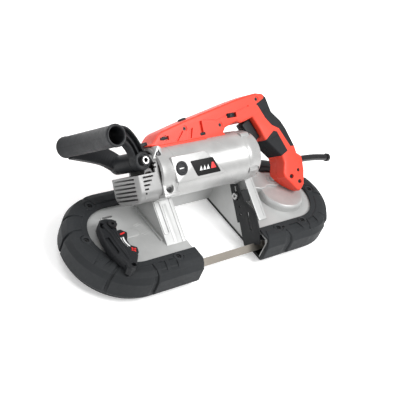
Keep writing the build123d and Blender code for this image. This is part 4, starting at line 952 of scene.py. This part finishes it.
def bar_mark(centre, turn, long, wide=2.6):
    mark = raised(((-long, -wide / 2), (long, -wide / 2), (long, wide / 2), (-long, wide / 2)), SIGN_LOW,
                  SIGN_HIGH)
    bmesh.ops.rotate(mark, matrix=Matrix.Rotation(turn, 3, "Z"), verts=mark.verts)
    bmesh.ops.translate(mark, vec=(*centre, 0), verts=mark.verts)
    return mark


piece("lever_signs", [bar_mark((-182, -5), 0.2, 4.6), bar_mark((-183.5, -40), 0.2, 4.6),
                      bar_mark((-183.5, -40), 0.2 + pi / 2, 4.6)], PLATE, RED_PRINT, "tension_lever")
arcs = []
for reach in (0, 4.6):
    inner = [(-186.6 - reach + 2.0 * (1 - (k / 3 - 1) ** 2) * -1, -12 - 20 * k / 6) for k in range(7)]
    arcs.append(raised([*inner, *[(u + 2.6, v) for u, v in reversed(inner)]], SIGN_LOW, ARC_HIGH))
piece("lever_arcs", arcs, PLATE, WHITE, "tension_lever")

# %% [markdown]
# ## Front plates
# The castings' front faces carry ribs, steps and pressed dashes. They are drawn in the plate's own
# plane, and those on the slanted wedges in a plane that lies on the slope.

# %% Details on the left plate and its wedge
SLOPE_UP = Vector((0, 69, 39.5)).normalized()
SLOPE = drawing_plane(ALONG, SLOPE_UP, ALONG.cross(SLOPE_UP), ORIGIN + Vector((0, -43 * MM, 0)))
steps = [raised(((-120 + k % 2, 56 - 11 * k), (-117 + k % 2, 58 - 11 * k), (-117 + k % 2, 51 - 11 * k),
                 (-121, 49 - 11 * k)), -0.2, 3.0, rim=0.5) for k in range(6)]
dashes = [raised(((x, y), (x + 15, y + 3), (x + 15, y + 1.6), (x, y - 1.4)), -0.2, 0.7, rim=0.3)
          for x, y in ((-146, 14), (-143, 11.5), (-143, -6), (-140, -8.5))]
dots = [rod(1.3, -0.2, 0.8, 0.3, 20, place) for place in ((-152, 0), (-119, -30), (-133, 15))]
slot_rim = combined(raised(((-190, 36.5), (-166, 36.5), (-166, 45.5), (-190, 45.5)), -0.2, 1.2, corner=4,
                           rim=0.5),
                    [raised(((-187.6, 39), (-168.4, 39), (-168.4, 43), (-187.6, 43)), -1, 4, corner=1.9)])
carriage_cover = raised(((-186, -8), (-144, -8), (-144, 8), (-186, 8)), -0.2, 1.4, corner=7, rim=0.6)
piece("left_plate_details", [carriage_cover, *steps, *dashes, *dots, slot_rim], PLATE, SILVER, "root")
ridge = combined(raised(((-114, 18), (-103, 18), (-103, 74), (-114, 74)), -0.3, 1.2, corner=3, rim=0.4),
                 [raised(((-112.4, 20), (-104.6, 20), (-104.6, 72), (-112.4, 72)), -1, 4, corner=2)])
web = raised(((-100, 3), (-92, 3), (-92, 66), (-100, 66)), -0.3, 0.6, rim=0.3)
edge_bar = raised(((-84, 0), (-77.4, 0), (-77.4, 78), (-84, 78)), -0.3, 1.0, rim=0.4)
piece("left_wedge_ridges", [ridge, web, edge_bar], SLOPE, SILVER, "root")

# %% Gear cover, shaft disc and strip on the right plate
COVER = (
    (104, 30), (104, 50), (112, 62), (127, 66.5), (142, 63), (153, 54), (161, 43), (172, 37), (180, 29),
    (181, 19),
    (175, 11), (165, 9.5), (155, 14), (146, 15), (138, 11), (128, 11), (114, 18),
)
bolts = ((141.4, 48.7), (166, 24))
COVER_HIGH = 16
cover = raised(COVER, 0, COVER_HIGH, rim=2.2, segments=4)
rings = [turned(((5, 15.6), (10, 15.6), (9.4, 17.6), (7.4, 18), (5, 18)), 36, place) for place in bolts]
disc = turned(((0, -0.2), (45, -0.2), (44.6, 6), (43, 10.4), (40.6, 12.6), (38.4, 12.6), (36.6, 11.6),
               (0, 11.6)), 96,
              (HALF, 0))
piece("gear_cover_casting", [cover, *rings, disc], PLATE, SILVER, "root", ["gear_cover"])
piece("cover_bolts", [rod(5, 17.2, 22, 0.9, 6, place) for place in bolts], PLATE, MOTOR_SILVER, "root")
strip = combined(raised(((84, 0), (103, 0), (103, 82), (84, 82)), -0.3, 1.6, rim=0.6), [
    raised(((88, 4), (99, 4), (99, 78), (88, 78)), 1.0, 9, corner=2)])
piece("right_wedge_strip", [strip], SLOPE, SILVER, "root")

# %% [markdown]
# ## Work stop
# The workpiece is pushed against a black steel plate. It has rounded edges, a long slot and holes.

# %% Stop plate
STOP_LEFT, STOP_THICK = 64, 3
STOP_OUTLINE = ((38, -3), (38, 17), (7, 25), (-7, 40), (-17, 47), (-43, 48), (-69, 42), (-70, -2))
stop = combined(raised(STOP_OUTLINE, STOP_LEFT, STOP_LEFT + STOP_THICK, rim=0.8, both=True), [
    raised(((-77, -2.6), (-29, -2.6), (-29, 3.4), (-77, 3.4)), 60, 70),
    raised(((9, 5.1), (35, 5.1), (35, 10.9), (9, 10.9)), 60, 70, corner=2.8),
    raised(((-44, 26), (-12, 26), (-12, 30.5), (-44, 30.5)), 60, 70, corner=2.2),
    rod(2.2, 60, 70, sides=24, at=(-2, 12)), rod(2.2, 60, 70, sides=24, at=(-16, 9))])
piece("stop_plate", [stop], CROSS, STOP, "work_stop", ["work_stop"])
